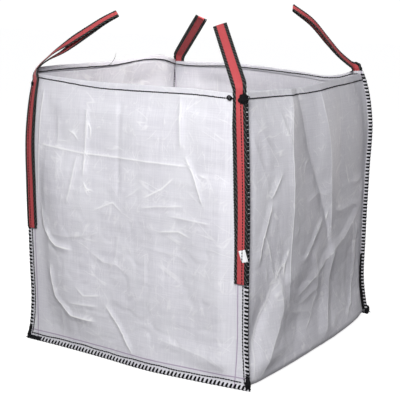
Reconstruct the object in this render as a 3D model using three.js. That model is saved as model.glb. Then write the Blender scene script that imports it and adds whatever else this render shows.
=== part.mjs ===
// Open-top bulk bag of woven polypropylene with four webbing lifting loops.
// Millimetres, +Z up. The origin is the middle of the base's underside, and the front panel faces -Y.
// One U-shaped cloth makes the base and the two side walls; a front and a back panel are sewn into it.
import * as THREE from 'three';

// the bag's outline: half its width over the seams, which flares at the base and draws in at the rim
const RIM_HEIGHT = 915;
const WAIST_HALF = 434;
const BASE_FLARE = 12;
const RIM_DRAW = 25;
const FLARE_POWER = 8;
const DRAW_POWER = 6;
const BASE_RADIUS = 25;

// cloth, seams and thread
const GAP = 0.3;
const CLOTH = 1.5;
const PANEL_INSET = 3;
const SEAM_WIDTH = 12.7;
const SEAM_THICKNESS = 4;
const THREAD = 1;
const STITCH_WIDTH = 1.5;
const SAFETY_INSET = 19;
const HEM_DEPTH = 22;
const BOTTOM_SEAM_LOW = 2;
const BOTTOM_SEAM_HIGH = 14;
const BOTTOM_SEAM_REACH = 9;
const BOTTOM_STITCH_HEIGHT = 26;
const SIDE_SEAM_FOOT = 22;

// webbing: two sewn legs on each seam, one over the other, and a free loop above the rim
const WEB_WIDTH = 45;
const WEB = 2;
const OUTER_LEG_END = 350;
const UNDER_LEG_END = 365;
const LOOP_LENGTH = 330;
const LOOP_LIFT = 5;
const LOOP_HALF_GAP = 15;
const LOOP_CLOSED_TO = 45;
const LOOP_OPEN_FROM = 150;

// label, knots and thread tails
const LABEL_SIZE = [25, 38, 0.6];
const LABEL_TILT = THREE.MathUtils.degToRad(17);
const LABEL_HEIGHT = 425;
const KNOT_RADII = [8, 3, 9];
const TAIL_RADII = [6, 1.8, 9];

// each corner: its signs in X and Y, and how far its loop leans in and turns towards the X axis at rest, in degrees
const CORNERS = {
  front_right: { x: 1, y: -1, lean: 57, turn: 0 },
  front_left: { x: -1, y: -1, lean: 55, turn: 0 },
  back_right: { x: 1, y: 1, lean: 48, turn: 0 },
  back_left: { x: -1, y: 1, lean: 50, turn: 9 },
};

const WALL_HEIGHTS = [915, 870, 780, 640, 460, 250, 110, 25];
const ARC_STEPS = 3;

const half = (z) => {
  const t = THREE.MathUtils.clamp(z / RIM_HEIGHT, 0, 1);
  return WAIST_HALF + BASE_FLARE * (1 - t) ** FLARE_POWER - RIM_DRAW * t ** DRAW_POWER;
};
const faceY = (z) => half(z) - PANEL_INSET;
const wallX = (z) => half(z) - SEAM_WIDTH - GAP;

const material = (color, roughness) => new THREE.MeshStandardMaterial({ color, roughness, metalness: 0 });
const WOVEN = material(0xe9e9ee, 0.6);
const WEBBING = material(0xb3262e, 0.85);
const BLACK_THREAD = material(0x141416, 0.8);
const LABEL_CLOTH = material(0xf4f4f4, 0.7);

const bag = new THREE.Group();

function add(name, geometry, finish, parent = bag) {
  const mesh = new THREE.Mesh(geometry, finish);
  mesh.name = name;
  parent.add(mesh);
  return mesh;
}

// A closed shell between two grids of points with the same rows and columns.
function shell(over, under) {
  const rows = over.length;
  const columns = over[0].length;
  const points = [...over.flat(), ...under.flat()];
  const at = (side, i, j) => side * rows * columns + i * columns + j;
  const faces = [];
  const quad = (a, b, c, d) => faces.push(a, b, c, a, c, d);
  for (let i = 0; i < rows - 1; i++) {
    for (let j = 0; j < columns - 1; j++) {
      quad(at(0, i, j), at(0, i + 1, j), at(0, i + 1, j + 1), at(0, i, j + 1));
      quad(at(1, i, j), at(1, i, j + 1), at(1, i + 1, j + 1), at(1, i + 1, j));
    }
  }
  for (let i = 0; i < rows - 1; i++) {
    quad(at(0, i, 0), at(1, i, 0), at(1, i + 1, 0), at(0, i + 1, 0));
    quad(at(0, i + 1, columns - 1), at(1, i + 1, columns - 1), at(1, i, columns - 1), at(0, i, columns - 1));
  }
  for (let j = 0; j < columns - 1; j++) {
    quad(at(0, 0, j + 1), at(1, 0, j + 1), at(1, 0, j), at(0, 0, j));
    quad(at(0, rows - 1, j), at(1, rows - 1, j), at(1, rows - 1, j + 1), at(0, rows - 1, j + 1));
  }
  if (signedVolume(points, faces) < 0) {
    faces.reverse();
  }
  const geometry = new THREE.BufferGeometry().setFromPoints(points);
  geometry.setIndex(faces);
  geometry.computeVertexNormals();
  return geometry;
}

function signedVolume(points, faces) {
  let sum = 0;
  const side = new THREE.Vector3();
  for (let k = 0; k < faces.length; k += 3) {
    side.crossVectors(points[faces[k + 1]], points[faces[k + 2]]);
    sum += side.dot(points[faces[k]]);
  }
  return sum;
}

// A strip on the front or back panel: at each height, from x0(z) to x1(z) across and from d0(z) to d1(z)
// out from the panel's outer face.
function strip(heights, x0, x1, d0, d1, ySign) {
  const row = (z, d) => [x0(z), x1(z)].map((x) => new THREE.Vector3(x, ySign * (faceY(z) + d(z)), z));
  return shell(heights.map((z) => row(z, d1)), heights.map((z) => row(z, d0)));
}

const heightsBetween = (low, high) => [high, ...WALL_HEIGHTS.filter((z) => z > low && z < high), low];

// The U-shaped cloth: down the right wall, round the base's folded edge, across and up the left wall.
function uPanel() {
  const rightWall = WALL_HEIGHTS.map((z) => ({ x: wallX(z), z, nx: 1, nz: 0 }));
  const centreX = wallX(BASE_RADIUS) - BASE_RADIUS;
  const arc = [];
  for (let k = 1; k <= ARC_STEPS; k++) {
    const angle = (k / ARC_STEPS) * (Math.PI / 2);
    const nx = Math.cos(angle);
    const nz = -Math.sin(angle);
    arc.push({ x: centreX + BASE_RADIUS * nx, z: BASE_RADIUS + BASE_RADIUS * nz, nx, nz });
  }
  const rightHalf = [...rightWall, ...arc];
  const leftHalf = rightHalf.map((p) => ({ ...p, x: -p.x, nx: -p.nx })).reverse();
  const path = [...rightHalf, ...leftHalf];
  const row = (p, inwards) => {
    const z = p.z - inwards * p.nz;
    const reach = faceY(z) - CLOTH - GAP;
    return [-reach, reach].map((y) => new THREE.Vector3(p.x - inwards * p.nx, y, z));
  };
  return shell(path.map((p) => row(p, 0)), path.map((p) => row(p, CLOTH)));
}

function endPanel(ySign) {
  const heights = heightsBetween(0, RIM_HEIGHT);
  return strip(heights, (z) => -wallX(z), wallX, () => -CLOTH, () => 0, ySign);
}

// The overcast edge of a side seam, along the outer edge of the front or back panel.
function sideSeam(corner) {
  const heights = heightsBetween(SIDE_SEAM_FOOT, RIM_HEIGHT - 1);
  const inner = (z) => corner.x * (half(z) - SEAM_WIDTH);
  const outer = (z) => corner.x * half(z);
  return strip(heights, inner, outer, () => -SEAM_THICKNESS, () => 0, corner.y);
}

// The overcast bottom seam stands out from the panel and hangs a little lower at its outer edge.
function bottomSeam(ySign) {
  const reach = (z) => THREE.MathUtils.mapLinear(z, BOTTOM_SEAM_LOW, BOTTOM_SEAM_HIGH, BOTTOM_SEAM_REACH, SEAM_THICKNESS);
  const side = (z) => half(z) - 1;
  return strip([BOTTOM_SEAM_HIGH, BOTTOM_SEAM_LOW], (z) => -side(z), side, () => GAP, reach, ySign);
}

// The safety stitch runs inside the overcast edge and climbs over the webbing where it is sewn on.
function safetyStitch(corner) {
  const overWebbing = GAP + 2 * (WEB + GAP);
  const heights = [...heightsBetween(OUTER_LEG_END - 1, RIM_HEIGHT - 4), ...heightsBetween(24, OUTER_LEG_END - 4)];
  const rise = (z) => (z >= OUTER_LEG_END - 1 ? overWebbing : GAP);
  const x = (z) => corner.x * (half(z) - SAFETY_INSET);
  const across = corner.x * STITCH_WIDTH;
  return strip(heights, (z) => x(z) - across / 2, (z) => x(z) + across / 2, rise, (z) => rise(z) + THREAD, corner.y);
}

function bottomStitch(ySign) {
  const heights = [BOTTOM_STITCH_HEIGHT + STITCH_WIDTH, BOTTOM_STITCH_HEIGHT];
  const side = (z) => half(z) - SAFETY_INSET - 2 * STITCH_WIDTH;
  return strip(heights, (z) => -side(z), side, () => GAP, () => GAP + THREAD, ySign);
}

function hemStitchOnPanel(ySign) {
  const z = RIM_HEIGHT - HEM_DEPTH;
  const side = (height) => half(height) - WEB_WIDTH - STITCH_WIDTH;
  return strip([z + STITCH_WIDTH, z], (h) => -side(h), side, () => GAP, () => GAP + THREAD, ySign);
}

function hemStitchOnWall(xSign) {
  const z = RIM_HEIGHT - HEM_DEPTH;
  const row = (height, out) => {
    const reach = faceY(height) - SEAM_THICKNESS - STITCH_WIDTH;
    return [-reach, reach].map((y) => new THREE.Vector3(xSign * (wallX(height) + out), y, height));
  };
  const rows = (out) => [row(z + STITCH_WIDTH, out), row(z, out)];
  return shell(rows(GAP + THREAD), rows(GAP));
}

// One sewn leg of webbing; layer 0 lies on the panel and layer 1 over it.
function sewnLeg(corner, layer, end) {
  const heights = heightsBetween(end, RIM_HEIGHT - 1);
  const inner = (z) => corner.x * (half(z) - WEB_WIDTH);
  const outer = (z) => corner.x * half(z);
  const low = GAP + layer * (WEB + GAP);
  return strip(heights, inner, outer, () => low, () => low + WEB, corner.y);
}

function pivotOf(corner) {
  const x = corner.x * (half(RIM_HEIGHT) - WEB_WIDTH / 2);
  const y = corner.y * (faceY(RIM_HEIGHT) + GAP + WEB);
  return new THREE.Vector3(x, y, RIM_HEIGHT + LOOP_LIFT);
}

// The free loop in its own frame: X across the webbing, Y through the gap and Z up the loop from its pivot.
function loopGeometry() {
  const closed = (WEB + GAP) / 2 + GAP;
  const widest = LOOP_HALF_GAP + WEB / 2;
  const spread = (s) => closed + (widest - closed) * THREE.MathUtils.smoothstep(s, LOOP_CLOSED_TO, LOOP_OPEN_FROM);
  const legEnd = LOOP_LENGTH - widest;
  const stops = [0, LOOP_CLOSED_TO, 70, 95, 120, LOOP_OPEN_FROM, 200, legEnd];
  const centre = stops.map((s) => new THREE.Vector2(spread(s), s));
  const crownSteps = 6;
  for (let k = 1; k < crownSteps; k++) {
    const angle = (k / crownSteps) * Math.PI;
    centre.push(new THREE.Vector2(widest * Math.cos(angle), legEnd + widest * Math.sin(angle)));
  }
  centre.push(...[...stops].reverse().map((s) => new THREE.Vector2(-spread(s), s)));
  const row = (k, offset) => {
    const before = centre[Math.max(k - 1, 0)];
    const after = centre[Math.min(k + 1, centre.length - 1)];
    const along = new THREE.Vector2().subVectors(after, before).normalize();
    const y = centre[k].x + offset * along.y;
    const z = centre[k].y - offset * along.x;
    return [-WEB_WIDTH / 2, WEB_WIDTH / 2].map((x) => new THREE.Vector3(x, y, z));
  };
  const rows = (offset) => centre.map((_, k) => row(k, offset));
  return shell(rows(WEB / 2), rows(-WEB / 2));
}

// A group whose Z axis is the leaning loop and whose X axis is the level fold line at the rim.
function loopFrame(corner) {
  const planAngle = THREE.MathUtils.degToRad(45 - corner.turn);
  const lean = THREE.MathUtils.degToRad(corner.lean);
  const inwards = new THREE.Vector3(-corner.x * Math.cos(planAngle), -corner.y * Math.sin(planAngle), 0);
  const up = new THREE.Vector3(0, 0, 1);
  const along = inwards.clone().multiplyScalar(Math.sin(lean)).addScaledVector(up, Math.cos(lean));
  const across = new THREE.Vector3().crossVectors(up, inwards);
  const through = new THREE.Vector3().crossVectors(along, across);
  const frame = new THREE.Group();
  frame.position.copy(pivotOf(corner));
  frame.quaternion.setFromRotationMatrix(new THREE.Matrix4().makeBasis(across, through, along));
  bag.add(frame);
  return frame;
}

function ellipsoid(radii) {
  return new THREE.SphereGeometry(1, 10, 8).scale(...radii);
}

function rimKnot(name, corner) {
  const z = RIM_HEIGHT - HEM_DEPTH;
  const out = 3 * GAP + 2 * WEB + KNOT_RADII[1];
  const knot = add(name, ellipsoid(KNOT_RADII), BLACK_THREAD);
  knot.position.set(corner.x * (half(z) - KNOT_RADII[0] + 1), corner.y * (faceY(z) + out), z);
}

function threadTail(name, corner) {
  const z = BOTTOM_SEAM_LOW + TAIL_RADII[2];
  const tail = add(name, ellipsoid(TAIL_RADII), BLACK_THREAD);
  tail.position.set(corner.x * (half(z) - TAIL_RADII[0]), corner.y * (faceY(z) - SEAM_THICKNESS / 2), z);
}

function label() {
  const corner = CORNERS.front_right;
  const out = 4 * GAP + 2 * WEB + THREAD + LABEL_SIZE[2] / 2;
  const [wide, tall, thick] = LABEL_SIZE;
  const tag = add('label', new THREE.BoxGeometry(wide, thick, tall), LABEL_CLOTH);
  const x = corner.x * (half(LABEL_HEIGHT) - WEB_WIDTH / 2);
  tag.position.set(x, corner.y * (faceY(LABEL_HEIGHT) + out), LABEL_HEIGHT);
  tag.rotation.y = LABEL_TILT;
}

add('u_panel', uPanel(), WOVEN);
for (const [side, ySign] of [['front', -1], ['back', 1]]) {
  add(`${side}_panel`, endPanel(ySign), WOVEN);
  add(`overlock_${side}_bottom`, bottomSeam(ySign), BLACK_THREAD);
  add(`safety_stitch_${side}_bottom`, bottomStitch(ySign), BLACK_THREAD);
  add(`hem_stitch_${side}`, hemStitchOnPanel(ySign), BLACK_THREAD);
}
for (const [side, xSign] of [['right', 1], ['left', -1]]) {
  add(`hem_stitch_${side}`, hemStitchOnWall(xSign), BLACK_THREAD);
}
for (const [place, corner] of Object.entries(CORNERS)) {
  add(`overlock_${place}`, sideSeam(corner), BLACK_THREAD);
  add(`safety_stitch_${place}`, safetyStitch(corner), BLACK_THREAD);
  add(`strap_under_leg_${place}`, sewnLeg(corner, 0, UNDER_LEG_END), WEBBING);
  add(`strap_outer_leg_${place}`, sewnLeg(corner, 1, OUTER_LEG_END), WEBBING);
  add(`lifting_loop_${place}`, loopGeometry(), WEBBING, loopFrame(corner));
  rimKnot(`rim_knot_${place}`, corner);
  threadTail(`thread_tail_${place}`, corner);
}
label();

export default bag;
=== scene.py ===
"""Open-top bulk bag of woven plastic cloth: the visible cloth, webbing, seams and stitching.

Metres, +Z up, the front panel faces -Y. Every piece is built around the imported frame.
"""
import math
import random

import bpy
import numpy as np
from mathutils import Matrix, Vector, noise


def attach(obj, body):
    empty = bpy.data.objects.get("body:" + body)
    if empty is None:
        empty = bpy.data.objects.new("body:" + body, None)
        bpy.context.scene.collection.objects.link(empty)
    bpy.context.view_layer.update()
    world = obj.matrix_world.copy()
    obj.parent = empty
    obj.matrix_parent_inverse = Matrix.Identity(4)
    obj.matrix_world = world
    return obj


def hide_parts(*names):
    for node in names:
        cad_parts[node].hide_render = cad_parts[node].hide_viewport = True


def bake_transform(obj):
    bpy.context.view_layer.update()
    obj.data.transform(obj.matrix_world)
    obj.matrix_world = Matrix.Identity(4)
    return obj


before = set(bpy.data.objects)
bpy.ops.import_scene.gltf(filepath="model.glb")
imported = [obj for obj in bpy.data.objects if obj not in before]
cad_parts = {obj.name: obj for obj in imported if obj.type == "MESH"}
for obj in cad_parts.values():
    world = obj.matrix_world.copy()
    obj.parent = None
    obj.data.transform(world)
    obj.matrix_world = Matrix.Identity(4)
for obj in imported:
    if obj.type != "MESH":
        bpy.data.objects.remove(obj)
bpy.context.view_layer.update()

# each corner: its signs in X and Y
PLACES = {"front_right": (1, -1), "front_left": (-1, -1), "back_right": (1, 1), "back_left": (-1, 1)}

# heights up a seam, and for each corner how far the seam's edge lies from the middle there, in X and in Y
SEAM_HEIGHTS = [0, .05, .12, .30, .55, .75, .86, .925]
SEAM_EDGE = {
    "front_right": [(.460, .452, .444, .441, .440, .430, .419, .414),
                    (.455, .448, .441, .438, .434, .425, .414, .408)],
    "front_left": [(.455, .443, .435, .435, .436, .431, .420, .408),
                   (.440, .436, .434, .434, .434, .430, .418, .408)],
    "back_right": [(.447, .438, .430, .430, .435, .438, .424, .408),
                   (.447, .440, .432, .430, .434, .436, .422, .406)],
    "back_left": [(.450, .440, .434, .433, .435, .431, .419, .406),
                  (.446, .438, .433, .432, .434, .431, .419, .406)],
}
# how far the seam and its strap turn away from the panel at each corner, in degrees by height; below 0 is in
SEAM_TURN = {
    "front_right": [(0, 12), (.3, 2), (.925, 0)],
    "front_left": [(0, 0), (.4, -6), (.6, -12), (.8, -20), (.925, -30)],
    "back_right": [(0, 4), (.26, 12), (.7, 18), (.925, 0)],
    "back_left": [(0, 8), (.5, 6), (.8, 0), (.925, -6)],
}
# how far in from a seam that turn bends the panel, and between which distances its lift fades out
TURN_REACH = .06
TURN_FADES = (.45, .06)

# rim height along each side: place across the side, then height; the places run out to this one
RIM_END = .41
RIM = {
    "front": [(-.41, .931), (-.30, .926), (-.126, .917), (.074, .916), (.248, .915), (.348, .911),
              (.41, .911)],
    "right": [(-.41, .915), (-.35, .912), (-.247, .907), (-.049, .899), (.13, .902), (.285, .902),
              (.41, .905)],
    "left": [(-.41, .950), (-.289, .949), (-.13, .944), (.022, .942), (.114, .947), (.223, .950), (.33, .940),
             (.41, .918)],
    "back": [(-.41, .912), (-.278, .914), (-.141, .917), (-.009, .911), (.161, .898), (.263, .889),
             (.323, .898), (.37, .912), (.41, .914)],
}
# how far each side stands out at its foot beyond the line between its corners: share of the side, distance
FOOT_BULGE = {
    "front": [(0, 0), (.16, .002), (.37, .012), (.61, .028), (.82, .016), (1, 0)],
    "right": [(0, 0), (.12, .014), (.27, .027), (.5, .031), (.69, .033), (.9, .018), (1, 0)],
    "left": [(0, 0), (.2, .014), (.45, .028), (.75, .024), (1, 0)],
    "back": [(0, 0), (.25, .014), (.55, .026), (.8, .018), (1, 0)],
}
# how that bulge fades with height: height, share left
FOOT_FADE = [(0, 1), (.05, .86), (.12, .62), (.25, .36), (.45, .14), (.75, .03), (.95, 0)]
# how far each side stands out half way up: share of the side, distance. It grows and fades between heights
WAIST_GROWS = (.1, .4)
WAIST_FADES = (.93, .6)
WAIST_BULGE = {
    "front": [(0, 0), (.3, .004), (.6, .006), (1, 0)],
    "right": [(0, 0), (.4, .006), (.62, .014), (1, 0)],
    "left": [(0, 0), (.3, .010), (.6, .014), (1, 0)],
    "back": [(0, 0), (.3, .012), (.6, .006), (1, 0)],
}

# cloth, hem and seams
CLOTH = .0008
LAYER = .0013
FLANGE = .0127
FLANGE_STEPS = 3
SEAM_TOP = .925
RIM_LEVEL = .915
HEM = .022
HEM_ROWS = [0, .0035, .010, .016, .0215, .025]
# the hem's inner fold: rows by depth below the rim, and how far each lies behind the outer cloth, in layers
INNER_HEM = [(HEM - .001, 1.25), (.015, 1.45), (.009, 1.45), (.0035, 1.4), (.0008, .75)]
HEM_LAYER = CLOTH * 1.6
ROOT_HEIGHT = .016
BASE_LEVEL = .0022
BASE_SEAM_REACH = .045
ARC_HEIGHT = .030
ARC_STEPS = 5
BOTTOM_FLANGE = (.60, -.80)
# sizes of the cloth's cells, and how much of each side the cells are counted over
CELL = .0078
PANEL_CELL = .0062
WALL_SPAN = .83
PANEL_SPAN = .84
BASE_SPAN = .82

# webbing: size, how far it lies in from the seam's edge, how far its hidden leg shows, and where its legs end
WEB_WIDTH = .0455
WEB = .0017
STRAP_LIFT = CLOTH / 2 + .0022 + WEB
LEG_LIFT = .0012
LEG_STEP = .0022
LEG_TOP = .908
STRAP_INSET = {"front_right": .0015, "front_left": .001, "back_right": .003, "back_left": .003}
UNDER_LEG_SHIFT = {"front_right": .0055, "front_left": .003, "back_right": .002, "back_left": .002}
LEG_END = {"front_right": .335, "front_left": .405, "back_right": .350, "back_left": .360}
UNDER_LEG_EXTRA = .012
LOOP_LENGTH = {"front_right": .342, "front_left": .352, "back_right": .33, "back_left": .33}
LOOP_START = .912
SCALLOP = .0022
SCALLOP_PITCH = .0086

# the overlocking's wraps: pitch, depth, thickness, and half widths beside a strap, below it and where close
STITCH_PITCH = .0125
WRAP_DEPTH = .0128
WRAP_THICKNESS = .00085
WIDE_WRAP = .0055
NARROW_WRAP = .0037
DENSE_WRAP = .0030
SEAM_LEAN = .06
# the same for the bottom seams, and how far their wraps lean as a share of their width
BOTTOM_PITCH = STITCH_PITCH * 1.12
BOTTOM_DEPTH = .0130
BOTTOM_WRAP = .0040
BOTTOM_DENSE_WRAP = .0029
BOTTOM_LEAN = .5
# the chain stitches: distance in from a seam's edge, pitch, and radius on cloth, on webbing and inside
SAFETY_INSET = .0185
CHAIN_PITCH = .0092
CHAIN_RADIUS = .0020
WEB_CHAIN_RADIUS = .0017
INNER_CHAIN_RADIUS = .0009
# the hem's chain stitches
HEM_PITCH = .0068
HEM_CHAIN_RADIUS = .0021

# label: size, how far it turns, and the heights between which the stitch rises over it and falls again
LABEL_SIZE = (.025, .038)
LABEL_THICKNESS = .0004
LABEL_HEIGHT = .425
LABEL_TILT = math.radians(18)
LABEL_RISE = (.392, .402)
LABEL_FALL = (.452, .442)

UP = np.array([0, 0, 1.0])


# ---------------------------------------------------------------- curves and grids

def through(points, at):
    """A smooth curve through rows of (position, value, ...), read at the given positions."""
    table = np.array(points, float)
    where, values = table[:, 0], table[:, 1:]
    slopes = np.gradient(values, where, axis=0)
    at = np.clip(np.asarray(at, float), where[0], where[-1])
    i = np.clip(np.searchsorted(where, at, side="right") - 1, 0, len(where) - 2)
    step = (where[i + 1] - where[i])[..., None]
    t = (at - where[i])[..., None] / step
    low, high = values[i], values[i + 1]
    curved = (
        (1 + 2 * t) * (1 - t) ** 2 * low + t * (1 - t) ** 2 * step * slopes[i]
        + t * t * (3 - 2 * t) * high + t * t * (t - 1) * step * slopes[i + 1]
    )
    return curved[..., 0] if values.shape[1] == 1 else curved


def smooth(value, low, high):
    """A soft step from 0 at low to 1 at high; high may be the smaller."""
    t = np.clip((value - low) / (high - low), 0, 1)
    return t * t * (3 - 2 * t)


def unit(vectors):
    """The same directions at length 1."""
    vectors = np.asarray(vectors, float)
    return vectors / np.maximum(np.linalg.norm(vectors, axis=-1, keepdims=True), 1e-12)


def edge_point(place, z):
    """The seam's outer edge at a corner, as an array of X, Y, Z."""
    sx, sy = PLACES[place]
    out = through(np.column_stack([SEAM_HEIGHTS, *SEAM_EDGE[place]]), z)
    return np.stack([sx * out[..., 0], sy * out[..., 1], np.asarray(z, float) + 0 * out[..., 0]], -1)


def seam_direction(place, z):
    """The level direction in which the seam's flange stands out at a corner."""
    sx, sy = PLACES[place]
    turn = np.radians(through(SEAM_TURN[place], z))
    return np.stack([sx * np.cos(turn), sy * np.sin(turn), 0 * turn], -1)


def root_point(place, z):
    """Where the panels meet at a corner, at the seam flange's inner edge."""
    return edge_point(place, z) - FLANGE * seam_direction(place, z)


# each side: the corners at its ends, the axis across it, the axis that it faces along, and which way it faces
SIDES = {
    "front": {"ends": ("front_left", "front_right"), "across": 0, "out": 1, "sign": -1},
    "back": {"ends": ("back_left", "back_right"), "across": 0, "out": 1, "sign": 1},
    "right": {"ends": ("front_right", "back_right"), "across": 1, "out": 0, "sign": 1},
    "left": {"ends": ("front_left", "back_left"), "across": 1, "out": 0, "sign": -1},
}


def seam_roots(side, z):
    """How far across a side its two seams' roots lie, at the given heights."""
    return [root_point(place, z)[..., SIDES[side]["across"]] for place in SIDES[side]["ends"]]


def roots_at(side, height):
    """The same at one height, as two numbers."""
    return [row[0] for row in seam_roots(side, np.array([height]))]


def panel_beside(place):
    """The panel whose seam and strap lie at a corner."""
    return "front" if PLACES[place][1] < 0 else "back"


def bottom_direction(sign):
    """The direction in which a bottom seam's flange stands out; sign is -1 at the front."""
    return np.array([0, sign * BOTTOM_FLANGE[0], BOTTOM_FLANGE[1]])


def seeded_noise(points, scale, seed):
    """Smooth noise from about -1 to 1 at each point, the same on every run."""
    shift = Vector((seed * 7.31, seed * 3.17, seed * 5.53))
    flat = points.reshape(-1, points.shape[-1])
    if flat.shape[1] == 2:
        flat = np.column_stack([flat, np.zeros(len(flat))])
    values = [noise.noise(Vector(p * scale) + shift) for p in flat]
    return np.array(values).reshape(points.shape[:-1])


# ---------------------------------------------------------------- folds and creases

def crease(across, z, points, height, near, far, ends=.02):
    """A ridge along a line of (across, z) points: it falls away over 'near' on the left of the line's course
    and over 'far' on its right. Returns the height, the signed distance from the line and how far the ridge
    has faded in from its ends."""
    line = np.array(points, float)
    best = np.full(across.shape, 1e9)
    side = np.zeros(across.shape)
    run = np.zeros(across.shape)
    travelled = 0
    spans = np.linalg.norm(np.diff(line, axis=0), axis=1)
    for start, stop, span in zip(line[:-1], line[1:], spans):
        step = (stop - start) / span
        dx, dz = across - start[0], z - start[1]
        along = np.clip(dx * step[0] + dz * step[1], 0, span)
        ex, ez = dx - along * step[0], dz - along * step[1]
        far_off = np.hypot(ex, ez)
        closer = far_off < best
        best = np.where(closer, far_off, best)
        side = np.where(closer, step[0] * dz - step[1] * dx, side)
        run = np.where(closer, travelled + along, run)
        travelled += span
    width = np.where(side > 0, near, far)
    taper = ends + 1.4 * min(near, far)
    fade = smooth(run, 0, taper) * smooth(travelled - run, 0, taper)
    tent = np.clip(1 - best / width, 0, 1)
    return height * tent * fade, best * np.where(side > 0, 1, -1), fade


# Creases on a side wall: line of (across, height) points, rise, width on its left and right, whitening
# (stress whitening, partly a painted highlight on the crest)
WALL_CREASES = [
    ([(-.278, .35), (-.262, .28), (-.256, .21), (-.282, .15), (-.343, .08), (-.395, .01), (-.45, -.11)],
     .028, .15, .085, .5),
    ([(-.285, .335), (-.312, .27), (-.350, .21), (-.395, .14), (-.41, .05), (-.42, -.04)],
     -.006, .030, .050, .4),
    ([(-.165, .218), (-.085, .238), (0, .265), (.068, .30), (.132, .32), (.235, .35), (.37, .43)],
     .006, .030, .085, .7),
    ([(-.250, .66), (-.318, .570)], .0035, .012, .016, .8),
    ([(-.303, .575), (-.332, .505), (-.353, .46), (-.376, .37)], .0045, .014, .022, .9),
    ([(-.118, .335), (-.060, .375), (-.008, .42), (.050, .455)], .006, .012, .022, 1),
    ([(-.300, .30), (-.262, .345), (-.215, .385)], .0018, .010, .014, .8),
    ([(-.16, .49), (-.178, .43)], .004, .010, .016, .7),
    ([(-.31, .38), (-.285, .31)], .003, .010, .016, .6),
    ([(-.335, .38), (-.32, .30)], .002, .010, .014, .3),
    ([(-.037, .365), (-.006, .305), (.008, .24), (.010, .155)], .005, .022, .018, .6),
    ([(.138, .365), (.130, .32), (.113, .28), (.101, .23), (.102, .17), (.08, .11), (.062, .06), (.016, .01)],
     .010, .040, .050, .5),
    ([(.323, .39), (.343, .36), (.343, .26), (.33, .16)], .004, .016, .022, .7),
    ([(.235, .04), (.315, .115)], .005, .014, .018, .6),
    ([(-.21, .19), (-.10, .165), (-.02, .14)], .003, .020, .030, .2),
    ([(-.13, .19), (-.03, .21), (.03, .22)], .0025, .014, .02, .3),
    ([(-.10, .53), (.01, .545), (.09, .52)], .0022, .014, .02, .3),
    ([(.13, .50), (.16, .475)], .003, .010, .014, .5),
    ([(.225, .50), (.245, .47)], .003, .010, .014, .5),
    ([(.26, .54), (.33, .53), (.39, .545)], .002, .012, .02, .2),
    ([(.10, .47), (.20, .45), (.30, .455), (.40, .43)], .003, .02, .03, .1),
    ([(-.235, .85), (-.225, .79), (-.20, .72)], .002, .010, .016, .2),
    ([(-.37, .84), (-.31, .74), (-.27, .70)], .002, .016, .024, .1),
    ([(-.40, .80), (-.34, .66), (-.32, .60)], .002, .014, .02, .1),
    ([(.33, .90), (.345, .84)], .002, .008, .014, .3),
    ([(.17, .08), (.09, .045), (-.03, .035)], .004, .02, .03, .1),
    ([(-.245, .31), (-.238, .36), (-.212, .41)], .0022, .006, .008, 1),
    ([(.300, .40), (.325, .33), (.330, .25)], .0022, .006, .008, .9),
    ([(.330, .20), (.310, .13), (.285, .07)], .0022, .006, .008, .9),
    ([(.045, .30), (.058, .24), (.052, .20)], .0018, .005, .007, .9),
    ([(.010, .20), (-.045, .12), (-.085, .09)], .0018, .005, .007, .8),
    ([(.075, .42), (.085, .48)], .0016, .005, .006, .9),
    ([(-.115, .62), (-.085, .66), (-.040, .672)], .0012, .005, .006, .7),
    ([(.270, .52), (.240, .58), (.225, .62)], .0014, .005, .006, .8),
    ([(-.340, .47), (-.318, .42), (-.300, .36)], .0014, .005, .007, .8),
]
# the main folds of a side wall: their places and rises by height
FOLD_COLUMNS = [.25, .03, .22, .12, .13, .25]
FOLD_PLACES = [
    [(0, -.24), (.2, -.238), (.3, -.234), (.4, -.229), (.5, -.228), (.6, -.228), (.7, -.227), (.8, -.211),
     (.86, -.184), (.93, -.156)],
    [(0, -.215), (.2, -.215), (.3, -.211), (.4, -.206), (.5, -.204), (.6, -.204), (.7, -.203), (.8, -.187),
     (.86, -.160), (.93, -.132)],
    [(0, .03), (.2, .08), (.3, .10), (.4, .090), (.5, .052), (.58, .009), (.66, -.035), (.76, -.070),
     (.83, -.083), (.93, -.097)],
    [(0, .12), (.2, .13), (.3, .13), (.4, .112), (.5, .094), (.6, .075), (.7, .062), (.8, .047), (.88, .047),
     (.93, .055)],
    [(0, .24), (.2, .24), (.3, .235), (.4, .218), (.5, .194), (.6, .179), (.7, .189), (.8, .211),
     (.93, .236)],
]
FOLD_RISES = [
    [(0, 0), (.18, 0), (.24, .006), (.3, .017), (.4, .025), (.5, .031), (.7, .032), (.8, .029), (.93, .014)],
    [(0, 0), (.18, 0), (.24, .009), (.3, .022), (.4, .030), (.5, .0365), (.7, .0375), (.8, .034),
     (.93, .017)],
    [(0, 0), (.3, 0), (.4, 0), (.5, -.002), (.6, -.001), (.7, .002), (.8, .006), (.93, .003)],
    [(0, 0), (.3, .001), (.4, .0075), (.5, .016), (.6, .023), (.7, .026), (.8, .0265), (.93, .016)],
    [(0, 0), (.3, 0), (.4, 0), (.5, .002), (.6, .004), (.7, .0045), (.8, .005), (.93, .001)],
]
# how whitened the main folds are, and between which heights: partly stress whitening, partly a painted
# highlight
FOLD_MARKS = [0, .5, .2, .55, .25]
FOLD_MARK_LOW = [0, .27, .42, .38, .50]
FOLD_MARK_HIGH = [1, .90, .90, .90, .89]
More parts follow.
